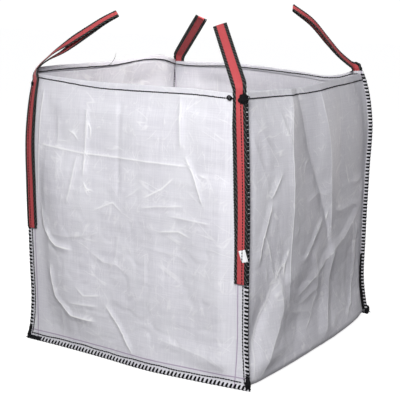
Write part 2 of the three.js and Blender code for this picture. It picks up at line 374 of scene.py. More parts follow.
# Creases on the front or back panel, in the same form as the wall's
PANEL_CREASES = [
    ([(-.345, .89), (-.36, .80), (-.365, .72), (-.375, .62), (-.38, .51)], .0045, .018, .014, .8),
    ([(-.28, .81), (-.283, .70)], .002, .010, .008, .3),
    ([(-.165, .84), (-.169, .70), (-.173, .60)], .0035, .012, .010, .6),
    ([(-.20, .68), (-.22, .57), (-.24, .505)], .0030, .014, .010, .5),
    ([(-.04, .87), (-.043, .70), (-.04, .55)], -.0035, .014, .012, 0),
    ([(.18, .90), (.19, .79), (.195, .72)], .0030, .012, .010, .5),
    ([(.208, .715), (.25, .64), (.288, .555)], .0035, .012, .010, .7),
    ([(-.37, .702), (-.17, .685), (.03, .681), (.23, .678)], .0020, .012, .010, .6),
    ([(.04, .528), (.10, .54), (.215, .553)], .0025, .012, .010, .4),
    ([(.15, .516), (.32, .510)], .0022, .010, .010, .4),
    ([(-.367, .51), (-.36, .46), (-.35, .42), (-.32, .38), (-.295, .362), (-.22, .355)],
     .0055, .014, .018, 1),
    ([(-.333, .30), (-.322, .23), (-.305, .18), (-.27, .155), (-.235, .125), (-.13, .12)],
     .0060, .014, .020, 1),
    ([(-.25, .170), (-.12, .176)], .0025, .010, .012, .5),
    ([(-.10, .19), (-.04, .12), (0, .07), (.035, .025)], .0045, .014, .012, .9),
    ([(-.33, .31), (-.345, .50), (-.35, .60)], .0015, .02, .02, 0),
    ([(.06, .40), (.065, .28), (.03, .20)], .0018, .010, .010, .2),
    ([(-.02, .55), (.02, .575), (.05, .60)], .0015, .008, .010, .3),
    ([(.0, .50), (.02, .36), (.03, .31)], -.0018, .012, .012, 0),
    ([(.08, .40), (.20, .39), (.24, .36)], .0015, .012, .012, .1),
    ([(.25, .66), (.30, .645)], .0022, .008, .010, .5),
    ([(-.15, .36), (-.10, .33), (-.05, .33), (-.01, .30)], .0022, .012, .014, .3),
    ([(.10, .115), (.20, .10), (.30, .085), (.38, .05)], .0035, .030, .040, .2),
    ([(.02, .04), (.20, .035), (.33, .015)], .0030, .016, .02, .1),
    ([(-.28, .16), (-.285, .02)], .0020, .012, .010, .2),
    ([(-.14, .42), (-.24, .40), (-.33, .40)], .0018, .010, .012, .2),
    ([(-.09, .28), (-.05, .36), (-.04, .44)], .0018, .012, .010, .2),
    ([(.36, .425), (.40, .43)], .0015, .006, .006, .3),
    ([(-.175, .60), (-.160, .57), (-.130, .565)], .0012, .005, .005, .9),
    ([(-.170, .575), (-.150, .545)], .0012, .005, .005, .9),
    ([(-.165, .80), (-.150, .765), (-.152, .73)], .0010, .005, .005, .8),
    ([(-.245, .76), (-.215, .745), (-.195, .72)], .0010, .005, .005, .7),
    ([(-.140, .50), (-.060, .535), (-.020, .50)], .0012, .006, .006, .5),
    ([(.055, .560), (.130, .600), (.175, .640)], .0012, .005, .006, .7),
    ([(-.215, .235), (-.180, .205), (-.110, .215)], .0012, .005, .006, .6),
    ([(.110, .46), (.190, .47), (.240, .455)], .0010, .005, .006, .6),
]

# Broad soft swells: line of (across, height) points, rise, reach on its left and on its right
PANEL_SWELLS = [
    ([(-.290, .78), (-.275, .55), (-.260, .30), (-.25, .15), (-.25, -.02)], .026, .24, .150),
    ([(.375, .70), (.37, .40), (.375, .20), (.38, -.02)], .016, .060, .20),
    ([(-.40, .40), (-.20, .37), (.05, .40), (.38, .36)], -.006, .14, .20),
    ([(-.35, .84), (.05, .80), (.36, .83)], .005, .06, .16),
]


def mirrored(creases, shift, drop):
    """The same creases the other way round, moved across and down."""
    return [([(-a + shift, max(z - drop, .01)) for a, z in line], rise, far, near, mark)
            for line, rise, near, far, mark in creases]


CREASES = {
    "right": WALL_CREASES,
    "left": mirrored(WALL_CREASES, .02, .03),
    "front": PANEL_CREASES,
    "back": mirrored(PANEL_CREASES, -.03, .02),
}
SWELLS = {"front": PANEL_SWELLS, "back": PANEL_SWELLS, "right": [], "left": []}
SEEDS = {"front": 3, "back": 11, "right": 5, "left": 17}
WALL_FLIP = {"right": 1, "left": -1}
WALL_HALF = .44
LEFT_FOLD_SHARE = .7
# the cloth's unevenness: its height, how it is stretched across and up, and how fine it is
UNEVEN = [(.0080, (1, .45), 3.1), (.0036, (1, .6), 9), (.0014, (1, .35), 30), (.0010, (.35, 1), 42)]
PINCH = .0016
PINCH_WIDTH = .10
PINCH_FINENESS = 14
# whitening fades out between these distances from a crease, and fades in between these from a seam; the
# whitening is partly stress whitening, partly a painted highlight
MARK_REACH = (.016, .009)
MARK_LIMIT = .02
MARK_INSET = (.018, .034)
# folds fade in between these distances from a seam
WALL_INSET = (.003, .045)
PANEL_INSET = (.034, .085)
# how much of a fold the hem holds back, how much of it is left at the foot, and between which heights
HEM_HOLD = .45
HEM_HOLD_HEIGHTS = (.84, .93)
FOOT_LEFT = .12
FOOT_LEFT_HEIGHTS = (.015, .085)


def wall_fold(side, across, z):
    """The main folds of a side wall: facets between upright fold lines."""
    here = across * WALL_FLIP[side]
    lines = [through(points, z) for points in FOLD_PLACES]
    rises = [through(points, z) for points in FOLD_RISES]
    lines = [np.full(z.shape, -WALL_HALF)] + lines + [np.full(z.shape, WALL_HALF)]
    rises = [0 * z] + rises + [0 * z]
    height = 0 * z
    for a0, a1, r0, r1 in zip(lines[:-1], lines[1:], rises[:-1], rises[1:]):
        inside = (here >= a0) & (here <= a1)
        height = np.where(inside, r0 + (r1 - r0) * (here - a0) / np.maximum(a1 - a0, 1e-6), height)
    return height if side == "right" else LEFT_FOLD_SHARE * height


def relief(side, across, z, from_edge):
    """Folds, creases and unevenness on a side: how far it stands out, and for the whitened creases the signed
    distance to the nearest one and its strength. The whitening is partly stress whitening, partly a painted
    highlight."""
    is_wall = side in WALL_FLIP
    height = wall_fold(side, across, z) if is_wall else 0 * z
    gap = np.full(z.shape, 1.0)
    strength = 0 * z
    if is_wall:
        for points, low, high, mark in zip(FOLD_PLACES, FOLD_MARK_LOW, FOLD_MARK_HIGH, FOLD_MARKS):
            off = across * WALL_FLIP[side] - through(points, z)
            closer = np.abs(off) < np.abs(gap)
            seen = mark * smooth(z, low, low + .08) * smooth(z, high, high - .06)
            gap = np.where(closer, off, gap)
            strength = np.where(closer, seen, strength)
    for line, rise, near, far, mark in CREASES[side]:
        lift, off, fade = crease(across, z, line, rise, near, far)
        height = height + lift
        if mark > 0:
            closer = (np.abs(off) < np.abs(gap)) & (fade > 0)
            gap = np.where(closer, off, gap)
            strength = np.where(closer, mark * fade, strength)
    for line, rise, near, far in SWELLS[side]:
        lift, _, _ = crease(across, z, line, rise, near, far)
        height = height + rise * smooth(lift / rise, 0, 1)
    strength = strength * smooth(np.abs(gap), *MARK_REACH)
    gap = np.clip(gap, -MARK_LIMIT, MARK_LIMIT)
    spots = np.stack([across, z], -1)
    seed = SEEDS[side]
    for k, (rise, stretch, fineness) in enumerate(UNEVEN):
        height = height + rise * seeded_noise(spots * stretch, fineness, seed + k)
    pinch = np.abs(seeded_noise(spots, PINCH_FINENESS, seed + len(UNEVEN)))
    height = height - PINCH * np.clip(PINCH_WIDTH - pinch, 0, 1) / PINCH_WIDTH * smooth(z, .75, .25)
    hold = smooth(from_edge, *(WALL_INSET if is_wall else PANEL_INSET))
    hold = hold * (1 - HEM_HOLD * smooth(z, *HEM_HOLD_HEIGHTS))
    on_foot = FOOT_LEFT + (1 - FOOT_LEFT) * smooth(z, *FOOT_LEFT_HEIGHTS)
    return height * hold * on_foot, gap, strength * smooth(from_edge, *MARK_INSET)


def side_surface(side, share, z):
    """Points on a side of the bag, for shares from one seam's root to the other and heights. Also how far the
    nearest whitened crease is and how strong; its whitening is partly stress whitening, partly a painted
    highlight."""
    facts = SIDES[side]
    first, last = (root_point(place, z) for place in facts["ends"])
    a, o, sign = facts["across"], facts["out"], facts["sign"]
    across = first[..., a] + (last[..., a] - first[..., a]) * share
    out = np.abs(first[..., o]) + (np.abs(last[..., o]) - np.abs(first[..., o])) * share
    out = out + through(FOOT_BULGE[side], share) * through(FOOT_FADE, z)
    out = out + through(WAIST_BULGE[side], share) * smooth(z, *WAIST_GROWS) * smooth(z, *WAIST_FADES)
    width = np.abs(last[..., a] - first[..., a])
    from_edge = width * np.minimum(share, 1 - share)
    if side in ("front", "back"):
        for place, gap in zip(facts["ends"], (share * width, (1 - share) * width)):
            turn = np.tan(np.radians(through(SEAM_TURN[place], z)))
            t = np.clip(gap / TURN_REACH, 0, 1)
            rise = TURN_REACH * t * (1 - t / 2) * smooth(gap, *TURN_FADES)
            out = out - np.minimum(turn, 0) * rise
    lift, gap, strength = relief(side, across, z, from_edge)
    out = out + lift
    points = np.zeros(out.shape + (3,))
    points[..., a] = across
    points[..., o] = sign * out
    points[..., 2] = z
    return points, np.stack([gap, strength], -1)


def panel_out(side, x, z):
    """The front or back panel's place in Y at a given X and height."""
    left, right = seam_roots(side, z)
    share = np.clip((x - left) / (right - left), 0, 1)
    return side_surface(side, share, z)[0][..., 1]


# ---------------------------------------------------------------- mesh building

def make_object(name, points, faces, material, uv=None, marks=None):
    """A smooth-shaded mesh object; uv and the crease marks are given by point."""
    mesh = bpy.data.meshes.new(name)
    mesh.from_pydata([tuple(p) for p in points], [], faces)
    mesh.update()
    corners = np.zeros(len(mesh.loops), int)
    mesh.loops.foreach_get("vertex_index", corners)
    if uv is not None:
        layer = mesh.uv_layers.new(name="cloth")
        layer.data.foreach_set("uv", np.asarray(uv, np.float32)[corners].ravel())
    if marks is not None:
        for k, kind in enumerate(("crease_gap", "crease_strength")):
            attribute = mesh.attributes.new(kind, "FLOAT", "POINT")
            attribute.data.foreach_set("value", np.ascontiguousarray(marks[:, k], np.float32))
    mesh.polygons.foreach_set("use_smooth", [True] * len(mesh.polygons))
    mesh.materials.append(material)
    obj = bpy.data.objects.new(name, mesh)
    bpy.context.scene.collection.objects.link(obj)
    return obj


def belongs(piece, slot, *nodes):
    """Ties a piece of the bag's body to the bag and hides the CAD nodes that it replaces. The slot is not
    used.
    """
    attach(piece, "bag")
    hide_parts(*nodes)


def grid_normals(grid):
    """The directions square to a grid of points."""
    along = np.gradient(grid, axis=0)
    across = np.gradient(grid, axis=1)
    return unit(np.cross(along, across))


def sheet_faces(rows, columns):
    """Faces of a closed sheet, whose upper points come first and then its lower ones: both sides and the rim.
    Also the upper points' numbers by row and column."""
    index = np.arange(rows * columns).reshape(rows, columns)
    top = np.stack([index[:-1, :-1], index[1:, :-1], index[1:, 1:], index[:-1, 1:]], -1).reshape(-1, 4)
    ring = np.concatenate([index[0, :-1], index[:-1, -1], index[-1, :0:-1], index[:0:-1, 0]])
    following = np.roll(ring, -1)
    rim = np.stack([ring, following, following + index.size, ring + index.size], -1)
    return np.concatenate([top, top[:, ::-1] + index.size, rim]), index


def for_both_sides(grid):
    """A grid's values in one list, first for a closed sheet's upper points and then for its lower ones."""
    return np.concatenate([grid.reshape(-1, grid.shape[-1])] * 2)


def sharpen(sheet, index, columns):
    """Makes the edges along the given columns sharp, on both sides of a closed sheet."""
    folded = np.zeros(2 * index.size, bool)
    for column in columns:
        folded[index[:, column]] = True
        folded[index[:, column] + index.size] = True
    ends = np.zeros(2 * len(sheet.data.edges), int)
    sheet.data.edges.foreach_get("vertices", ends)
    ends = ends.reshape(-1, 2)
    upright = np.abs(ends[:, 0] - ends[:, 1]) == index.shape[1]
    crisp = sheet.data.attributes.new("sharp_edge", "BOOLEAN", "EDGE")
    crisp.data.foreach_set("value", folded[ends[:, 0]] & folded[ends[:, 1]] & upright)


def closed_sheet(name, grid, thickness, material, uv, marks, sharp_columns=()):
    """A sheet of cloth with its real thickness, from a grid of points on its middle."""
    half = grid_normals(grid) * thickness / 2
    points = np.concatenate([(grid + half).reshape(-1, 3), (grid - half).reshape(-1, 3)])
    faces, index = sheet_faces(*grid.shape[:2])
    sheet = make_object(name, points, faces.tolist(), material, for_both_sides(uv), for_both_sides(marks))
    if sharp_columns:
        sharpen(sheet, index, sharp_columns)
    return sheet


def swept(paths, sideways, upright, half_width, half_thick, section):
    """Many closed bars at once: paths (bars, steps, 3) with a flattened section swept along each."""
    bars, steps = paths.shape[:2]
    count = len(section)
    wide, tall = np.array(section, float).T[..., None]
    points = (paths[:, :, None] + sideways[:, :, None] * (wide * np.atleast_2d(half_width)[:, :, None, None])
              + upright[:, :, None] * (tall * half_thick[None, :, None, None]))
    one = []
    for k in range(steps - 1):
        for j in range(count):
            n = (j + 1) % count
            one.append((k * count + j, k * count + n, (k + 1) * count + n, (k + 1) * count + j))
    caps = [tuple(range(count))[::-1], tuple((steps - 1) * count + j for j in range(count))]
    faces = []
    for b in range(bars):
        base = b * steps * count
        faces += [tuple(base + v for v in f) for f in one + caps]
    return points.reshape(-1, 3), faces


class Pile:
    """Collects many small closed parts into one mesh. Its random numbers are seeded by its purpose."""

    def __init__(self, purpose):
        self.points = []
        self.faces = []
        self.count = 0
        self.rng = random.Random(purpose)

    def add(self, points, faces):
        """Adds one part; its faces count its own points."""
        self.points.append(points)
        self.faces += [tuple(v + self.count for v in face) for face in faces]
        self.count += len(points)

    def build(self, replaced, ending, slot):
        """Makes the piece that replaces a CAD node, in the thread of a material slot."""
        piece = make_object(f"{replaced}_{ending}", np.concatenate(self.points), self.faces, THREADS[slot])
        belongs(piece, slot, replaced)


def circle(count):
    """Evenly spaced points round a section."""
    return [(math.cos(a), math.sin(a)) for a in np.linspace(0, 2 * math.pi, count, endpoint=False)]


ROUND = circle(8)
THIN = circle(6)


def thread(pile, path, radius):
    """One length of thread along a path of points, thinner at its ends."""
    path = np.array(path, float)
    tangent = unit(np.gradient(path, axis=0))
    hint = np.array([.31, .27, .91])
    side = unit(np.cross(tangent, hint))
    width = np.full(len(path), radius)
    width[0] = width[-1] = radius * .5
    pile.add(*swept(path[None], side[None], np.cross(side, tangent)[None], width, width, THIN))


def spread_evenly(path, pitch):
    """Points along a path at an even pitch, with the tangent at each."""
    path = np.asarray(path, float)
    steps = np.linalg.norm(np.diff(path, axis=0), axis=1)
    run = np.concatenate([[0], np.cumsum(steps)])
    count = max(2, int(run[-1] / pitch))
    at = np.linspace(0, run[-1], count)
    points = np.stack([np.interp(at, run, path[:, k]) for k in range(3)], -1)
    return points, unit(np.gradient(points, axis=0))


# ---------------------------------------------------------------- materials

WHITE = (1, 1, 1, 1)
# the woven cloth's tones: between the tapes, on them and in cloudy patches, and of the light through it
GAP_TONE = (.655, .650, .700, 1)
TAPE_TONE = (.735, .730, .775, 1)
CLOUD_TONE = (.74, .745, .775, 1)
GLOW_TONE = (.80, .775, .79, 1)
GLOW_SHARE = .25
# its small creases, by direction in degrees and fineness, and how much they whiten a panel and a side wall:
# partly stress whitening, partly a painted highlight
FIRST_STROKES = (24, 24)
MORE_STROKES = ((-38, 30), (66, 19), (-8, 40))
PANEL_WHITENING_AND_HIGHLIGHT = .30
WALL_WHITENING_AND_HIGHLIGHT = .46
# the dark yarn: its tone, how far from a panel's middle and above its foot it runs, and where it fades
YARN_TONE = (.30, .20, .34, 1)
YARN_OUT = .4045
YARN_UP = .038
YARN_FADES = (.0011, .0023)
# the webbing's tones: red in its grooves, on its ribs and where it is worn, black, and the pale flecks
GROOVE_RED = (.310, .038, .044, 1)
RIB_RED = (.49, .082, .088, 1)
WORN_RED = (.46, .085, .09, 1)
EDGE_BLACK = (.004, .004, .004, 1)
FLECK_GREY = (.135, .145, .138, 1)
# where its black begins, as a distance from its middle in shares of its width
BLACK_STARTS = (.250, .268)
# the label's tones
LABEL_TONES = ((.70, .70, .71, 1), (.84, .84, .85, 1))


def new_material(name):
    """A material, its node tree and its shader."""
    material = bpy.data.materials.new(name)
    material.use_nodes = True
    tree = material.node_tree
    shader = tree.nodes["Principled BSDF"]
    return material, tree, shader


def node(tree, kind, inputs=None, **settings):
    """A new node. Its inputs are linked if they are given as sockets, and set if as values."""
    made = tree.nodes.new(kind)
    for key, value in settings.items():
        setattr(made, key, value)
    for key, value in (inputs or {}).items():
        if isinstance(value, bpy.types.NodeSocket):
            tree.links.new(value, made.inputs[key])
        else:
            made.inputs[key].default_value = value
    return made


def maths(tree, operation, first, second=0.0, third=0.0):
    """The result of one sum on up to three inputs."""
    made = node(tree, "ShaderNodeMath", {0: first, 1: second, 2: third}, operation=operation)
    return made.outputs[0]


def stepped(tree, value, low, high):
    """A soft step from 0 at low to 1 at high."""
    made = node(tree, "ShaderNodeMapRange", {"Value": value, "From Min": low, "From Max": high},
                interpolation_type="SMOOTHSTEP")
    return made.outputs["Result"]


def times(tree, first, second):
    """A product."""
    return maths(tree, "MULTIPLY", first, second)


def distance(tree, value, middle):
    """How far a value lies from a middle."""
    return maths(tree, "ABSOLUTE", maths(tree, "SUBTRACT", value, middle))


def near_zero(tree, value, low, high):
    """1 where a value is below low, falling to 0 at high."""
    return maths(tree, "SUBTRACT", 1.0, stepped(tree, value, low, high))


def mixed(tree, factor, first, second):
    """A mix of two colours, which are the node's sockets 6 and 7."""
    return node(tree, "ShaderNodeMix", {0: factor, 6: first, 7: second}, data_type="RGBA").outputs[2]


def waves(tree, source, scale, direction, distortion=0.0):
    """Even bands across a direction."""
    made = node(tree, "ShaderNodeTexWave", {"Vector": source, "Scale": scale, "Distortion": distortion},
                bands_direction=direction)
    return made.outputs["Fac"]


def attribute(tree, name):
    """A value that the mesh holds at each point."""
    return node(tree, "ShaderNodeAttribute", attribute_name=name).outputs["Fac"]


def set_surface(tree, shader, tone, height, bump, rough, specular):
    """Sets a shader's colour, bump (strength and distance), roughness (source, factor, base) and specular."""
    tree.links.new(tone, shader.inputs["Base Color"])
    bumped = node(tree, "ShaderNodeBump", {"Height": height, "Strength": bump[0], "Distance": bump[1]})
    tree.links.new(bumped.outputs[0], shader.inputs["Normal"])
    tree.links.new(maths(tree, "MULTIPLY_ADD", *rough), shader.inputs["Roughness"])
    shader.inputs["Specular IOR Level"].default_value = specular


def cloth_uv(tree):
    """The place in the cloth, in metres; on webbing, the share across it and the metres along it."""
    return node(tree, "ShaderNodeUVMap", uv_map="cloth").outputs["UV"]


def stretched_noise(tree, source, scale, size, detail=2.0):
    """Noise that is drawn out where the scale is small."""
    mapped = node(tree, "ShaderNodeMapping", {"Vector": source, "Scale": scale})
    made = node(tree, "ShaderNodeTexNoise", {"Vector": mapped.outputs[0], "Scale": size, "Detail": detail})
    return made.outputs[0]


def strokes(tree, source, degrees, size):
    """Short thin creases that run one way, in patches: bands where a stretched noise crosses its middle."""
    turned = node(tree, "ShaderNodeMapping", {"Vector": source, "Rotation": (0, 0, math.radians(degrees)),
                                              "Scale": (1, 5, 1)}, vector_type="TEXTURE")
    wave = node(tree, "ShaderNodeTexNoise", {"Vector": turned.outputs[0], "Scale": size, "Detail": 1.0})
    band = stepped(tree, distance(tree, wave.outputs[0], .5), .022, .002)
    patch = stepped(tree, stretched_noise(tree, source, (1, 1, 1), size * .5, 2), .50, .62)
    return times(tree, band, patch)


def marker_yarn(tree, uv, tone):
    """The dark yarn woven in beside the side seams and along the foot of a panel."""
    parts = node(tree, "ShaderNodeSeparateXYZ", {0: uv})
    off_side = distance(tree, maths(tree, "ABSOLUTE", parts.outputs[0]), YARN_OUT)
    off_foot = distance(tree, parts.outputs[1], YARN_UP)
    yarn = near_zero(tree, maths(tree, "MINIMUM", off_side, off_foot), *YARN_FADES)
    return mixed(tree, times(tree, yarn, .80), tone, YARN_TONE)


def woven_cloth(name, marker):
    """White woven tape cloth: flat tapes over and under, cloudy tone, and creases made whiter: partly the
    cloth's stress whitening, partly a painted highlight.
    """
    material, tree, shader = new_material(name)
    uv = cloth_uv(tree)
    warp = stretched_noise(tree, uv, (1, .03, 1), 260)
    weft = stretched_noise(tree, uv, (.03, 1, 1), 260)
    cloud = stretched_noise(tree, uv, (1, .7, 1), 7, 4)
    tapes = maths(tree, "ADD", times(tree, warp, .5), times(tree, weft, .5))
    tone = mixed(tree, stepped(tree, tapes, .38, .62), GAP_TONE, TAPE_TONE)
    tone = mixed(tree, times(tree, stepped(tree, cloud, .35, .7), .45), tone, CLOUD_TONE)
    off_crease = maths(tree, "ABSOLUTE", attribute(tree, "crease_gap"))
    strength = attribute(tree, "crease_strength")
    # painted highlight with stress whitening: each crease's crest is mixed towards white by its strength
    crest = near_zero(tree, off_crease, .0008, .0038)
    tone = mixed(tree, times(tree, crest, times(tree, strength, .95)), tone, WHITE)
    crumple = times(tree, strokes(tree, uv, *FIRST_STROKES), .8)
    for degrees, size in MORE_STROKES:
        crumple = maths(tree, "MAXIMUM", crumple, strokes(tree, uv, degrees, size))
    # painted highlight with stress whitening on the small crinkles
    tone = mixed(tree, times(tree, crumple, PANEL_WHITENING_AND_HIGHLIGHT if marker else WALL_WHITENING_AND_HIGHLIGHT), tone, WHITE)
    if marker:
        tone = marker_yarn(tree, uv, tone)
    weave = times(tree, waves(tree, uv, 120, "X"), waves(tree, uv, 120, "Y"))
    height = maths(tree, "ADD", weave, times(tree, tapes, 1.6))
    height = maths(tree, "ADD", height, times(tree, crumple, 1.6))
    ridge = near_zero(tree, off_crease, -.003, .0065)
    height = maths(tree, "ADD", height, times(tree, times(tree, ridge, strength), 9.0))
    set_surface(tree, shader, tone, height, (.4, .0006), (tapes, .22, .36), .5)
    shader.inputs["Sheen Weight"].default_value = .08
    glow = node(tree, "ShaderNodeBsdfTranslucent", {"Color": GLOW_TONE})
    both = node(tree, "ShaderNodeMixShader", {0: GLOW_SHARE, 1: shader.outputs[0], 2: glow.outputs[0]})
    tree.links.new(both.outputs[0], tree.nodes["Material Output"].inputs["Surface"])
    return material


def webbing():
    """Polyester webbing: a red middle between black edges with pale flecks, in a herringbone weave."""
    material, tree, shader = new_material("webbing")
    uv = cloth_uv(tree)
    parts = node(tree, "ShaderNodeSeparateXYZ", {0: uv})
    u, v = parts.outputs[0], parts.outputs[1]
    edge = stepped(tree, distance(tree, u, .5), *BLACK_STARTS)
    zigzag = maths(tree, "PINGPONG", times(tree, u, 12.0), 1.0)
    slant = maths(tree, "MULTIPLY_ADD", v, 260.0, times(tree, zigzag, 1.2))
    rib = times(tree, maths(tree, "PINGPONG", slant, .5), 2.0)
    grain = stretched_noise(tree, uv, (40, 900, 1), 1, 3)
    wear = stretched_noise(tree, uv, (2, 22, 1), 1, 3)
    red = mixed(tree, rib, GROOVE_RED, RIB_RED)
    red = mixed(tree, times(tree, stepped(tree, wear, .45, .75), .35), red, WORN_RED)
    fleck_run = maths(tree, "MULTIPLY_ADD", v, 64.0, times(tree, u, 4.5))
    fleck = stepped(tree, times(tree, maths(tree, "PINGPONG", fleck_run, .5), 2.0), .62, .90)
    fleck = times(tree, fleck, stepped(tree, grain, .35, .60))
    black = mixed(tree, fleck, EDGE_BLACK, FLECK_GREY)
    height = maths(tree, "MULTIPLY_ADD", grain, .5, rib)
    set_surface(tree, shader, mixed(tree, edge, red, black), height, (.6, .0006), (grain, .2, .55), .14)
    shader.inputs["Sheen Weight"].default_value = .02
    return material


def twisted_thread(name, dark, pale, twist):
    """Dull black thread, twisted from strands."""
    material, tree, shader = new_material(name)
    place = node(tree, "ShaderNodeTexCoord").outputs["Object"]
    strand = waves(tree, place, twist, "DIAGONAL", 1.5)
    fuzz = stretched_noise(tree, place, (1, 1, 1), 900, 2)
    tone = mixed(tree, times(tree, strand, fuzz), dark, pale)
    set_surface(tree, shader, tone, strand, (.5, .0004), (fuzz, .3, .5), .12)
    return material


def label_cloth():
    """Plain white ribbed label cloth."""
    material, tree, shader = new_material("label_cloth")
    uv = cloth_uv(tree)
    cloud = stretched_noise(tree, uv, (1, 1, 1), 60, 3)
    ribs = waves(tree, uv, 320, "Y")
    tone = mixed(tree, cloud, *LABEL_TONES)
    set_surface(tree, shader, tone, ribs, (.3, .0002), (cloud, .2, .4), .5)
    return material


WOVEN = woven_cloth("woven_wall", marker=False)
WOVEN_PANEL = woven_cloth("woven_panel", marker=True)
WEBBING = webbing()
DARK_THREAD = (.004, .004, .005, 1)
THREADS = {
    "overlock_thread": twisted_thread("overlock_thread", DARK_THREAD, (.014, .014, .016, 1), 420),
    "chain_thread": twisted_thread("chain_thread", DARK_THREAD, (.013, .013, .015, 1), 600),
}
LABEL_CLOTH = label_cloth()


# ---------------------------------------------------------------- cloth panels

def share_columns(side, z, count):
    """Shares across a side for its columns; on a side wall they follow the fold lines."""
    even = np.linspace(0, 1, count + 1)
    if side not in WALL_FLIP:
        return np.broadcast_to(even, z.shape[:1] + even.shape)
    lines = [through(points, z) for points in FOLD_PLACES]
    if side == "left":
        lines = [-line for line in reversed(lines)]
    near_root, far_root = seam_roots(side, z)
    stops = np.stack([near_root] + lines + [far_root], -1)
    weights = FOLD_COLUMNS if side == "right" else FOLD_COLUMNS[::-1]
    marks = np.concatenate([[0], np.cumsum(weights)])
    marks = np.round(marks / marks[-1] * count) / count
    shares = (stops - stops[:, :1]) / (stops[:, -1:] - stops[:, :1])
    return np.array([np.interp(even, marks, share) for share in shares])


def side_grid(side, count, cell, foot):
    """Grid of points on a side and its crease marks, with rows from the rim down to the given foot height."""
    below_hem = RIM_LEVEL - HEM_ROWS[-1]
    depths = np.linspace(0, 1, int((below_hem - foot) / cell) + 1)[1:]
    guess = np.concatenate([RIM_LEVEL - np.array(HEM_ROWS), below_hem - depths * (below_hem - foot)])
    share = share_columns(side, guess, count)
    first, last = roots_at(side, .92)
    top = through(RIM[side], first + (last - first) * share)
    rows = len(HEM_ROWS)
    start = top[rows:] - HEM_ROWS[-1]
    z = np.concatenate([top[:rows] - np.array(HEM_ROWS)[:, None], start + (foot - start) * depths[:, None]])
    return side_surface(side, share, z)


def inner_hem(side, grid):
    """The hem's inner fold, from its raw edge up to the rim, for putting before a side's first row."""
    facts = SIDES[side]
    inward = np.zeros(3)
    inward[facts["out"]] = -facts["sign"]
    rows = []
    for drop, back in INNER_HEM:
        k = np.searchsorted(HEM_ROWS, drop) - 1
        t = (drop - HEM_ROWS[k]) / (HEM_ROWS[k + 1] - HEM_ROWS[k])
        rows.append(grid[k] + (grid[k + 1] - grid[k]) * t + inward * HEM_LAYER * back)
    return np.array(rows)


def add_side_flanges(grid, directions_first, directions_last):
    """Adds the flange columns at both ends of every row."""
    reach = FLANGE * np.arange(1, FLANGE_STEPS + 1)[None, :, None] / FLANGE_STEPS
    first = grid[:, :1] + directions_first[:, None] * reach[:, ::-1]
    last = grid[:, -1:] + directions_last[:, None] * reach
    return np.concatenate([first, grid, last], axis=1)


def run_lengths(grid, axis):
    """Distances run along an axis of a grid of points."""
    steps = np.linalg.norm(np.diff(grid, axis=axis), axis=-1)
    zero = np.zeros_like(np.take(steps, [0], axis=axis))
    return np.concatenate([zero, np.cumsum(steps, axis=axis)], axis=axis)


def padded_marks(marks, before, after):
    """Adds unmarked rows above and below a grid of crease marks, and unmarked flange columns beside it."""
    return np.pad(marks, ((before, after), (FLANGE_STEPS, FLANGE_STEPS), (0, 0)))


def end_panel(side):
    """The front or back panel: a flat cut with its hem at the rim and flanges on its other three edges."""
    grid, marks = side_grid(side, int(PANEL_SPAN / PANEL_CELL), PANEL_CELL, ROOT_HEIGHT)
    fold = inner_hem(side, grid)
    down = bottom_direction(SIDES[side]["sign"])
    foot = [grid[-1:] + down * FLANGE * k / FLANGE_STEPS for k in range(1, FLANGE_STEPS + 1)]
    whole = np.concatenate([fold, grid] + foot)
    heights = np.clip(whole[:, 0, 2], 0, SEAM_TOP)
    whole = add_side_flanges(whole, *(seam_direction(place, heights) for place in SIDES[side]["ends"]))
    marks = padded_marks(marks, len(fold), FLANGE_STEPS)
    uv = np.stack([whole[..., 0], whole[..., 2]], -1)
    panel = closed_sheet(f"{side}_panel_cloth", whole, CLOTH, WOVEN_PANEL, uv, marks)
    belongs(panel, "woven_cloth", f"{side}_panel")


def seam_lift(share):
    """How far the base rises towards its seams, by share from the front to the back."""
    return (ROOT_HEIGHT - LAYER - BASE_LEVEL) * (1 - smooth(np.minimum(share, 1 - share), 0, BASE_SEAM_REACH))


def base_rows(count, right_edge, left_edge):
    """The base between its two folded edges: rows from right to left, columns from front to back."""
    t = np.linspace(0, 1, int(BASE_SPAN / CELL) + 1)[1:-1, None]
    x = right_edge[None, :, 0] * (1 - t) + left_edge[None, :, 0] * t
    share = np.linspace(0, 1, count + 1)[None, :]
    z = np.full(x.shape, ROOT_HEIGHT)
    front, back = panel_out("front", x, z) + LAYER, panel_out("back", x, z) - LAYER
    y = front + (back - front) * share
    spots = np.stack([x, y], -1)
    coarse, fine = np.clip(seeded_noise(spots, 6, 23), 0, 1), np.clip(seeded_noise(spots, 22, 29), 0, 1)
    ruffle = .0035 * coarse + .0012 * fine
    ruffle = ruffle * smooth(np.minimum(share, 1 - share), .01, .08) * smooth(np.minimum(t, 1 - t), 0, .06)
    return np.stack([x, y, BASE_LEVEL + seam_lift(share) + ruffle], -1)


def base_corner(wall_foot, sign):
    """The folded edge between a side wall and the base."""
    reach = wall_foot[:, 2] - (BASE_LEVEL + seam_lift(np.linspace(0, 1, len(wall_foot))))
    rows = []
    for k in range(1, ARC_STEPS + 1):
        angle = math.pi / 2 * k / ARC_STEPS
        row = wall_foot.copy()
        row[:, 0] = wall_foot[:, 0] - sign * reach * (1 - math.cos(angle))
        row[:, 2] = wall_foot[:, 2] - reach * math.sin(angle)
        rows.append(row)
    return np.array(rows)


def u_flange(column, kinds, end):
    """The directions of the U-shaped cloth's flange along its front or back edge. A row's kind is 1 on the
    right wall, 2 on the fold below it, 3 on the base, 4 on the left fold and 5 on the left wall."""
    heights = np.clip(column[:, 2], 0, SEAM_TOP)
    low = bottom_direction(-1 if end == "front" else 1)
    way = np.where((kinds <= 2)[:, None], seam_direction(f"{end}_right", heights),
                   seam_direction(f"{end}_left", heights))
    turn = np.zeros(len(kinds))
    turn[kinds == 2] = np.arange(1, ARC_STEPS + 1) / ARC_STEPS
    turn[kinds == 3] = 1
    turn[kinds == 4] = np.arange(ARC_STEPS, 0, -1) / ARC_STEPS
    return unit(way * (1 - turn[:, None]) + low * turn[:, None])


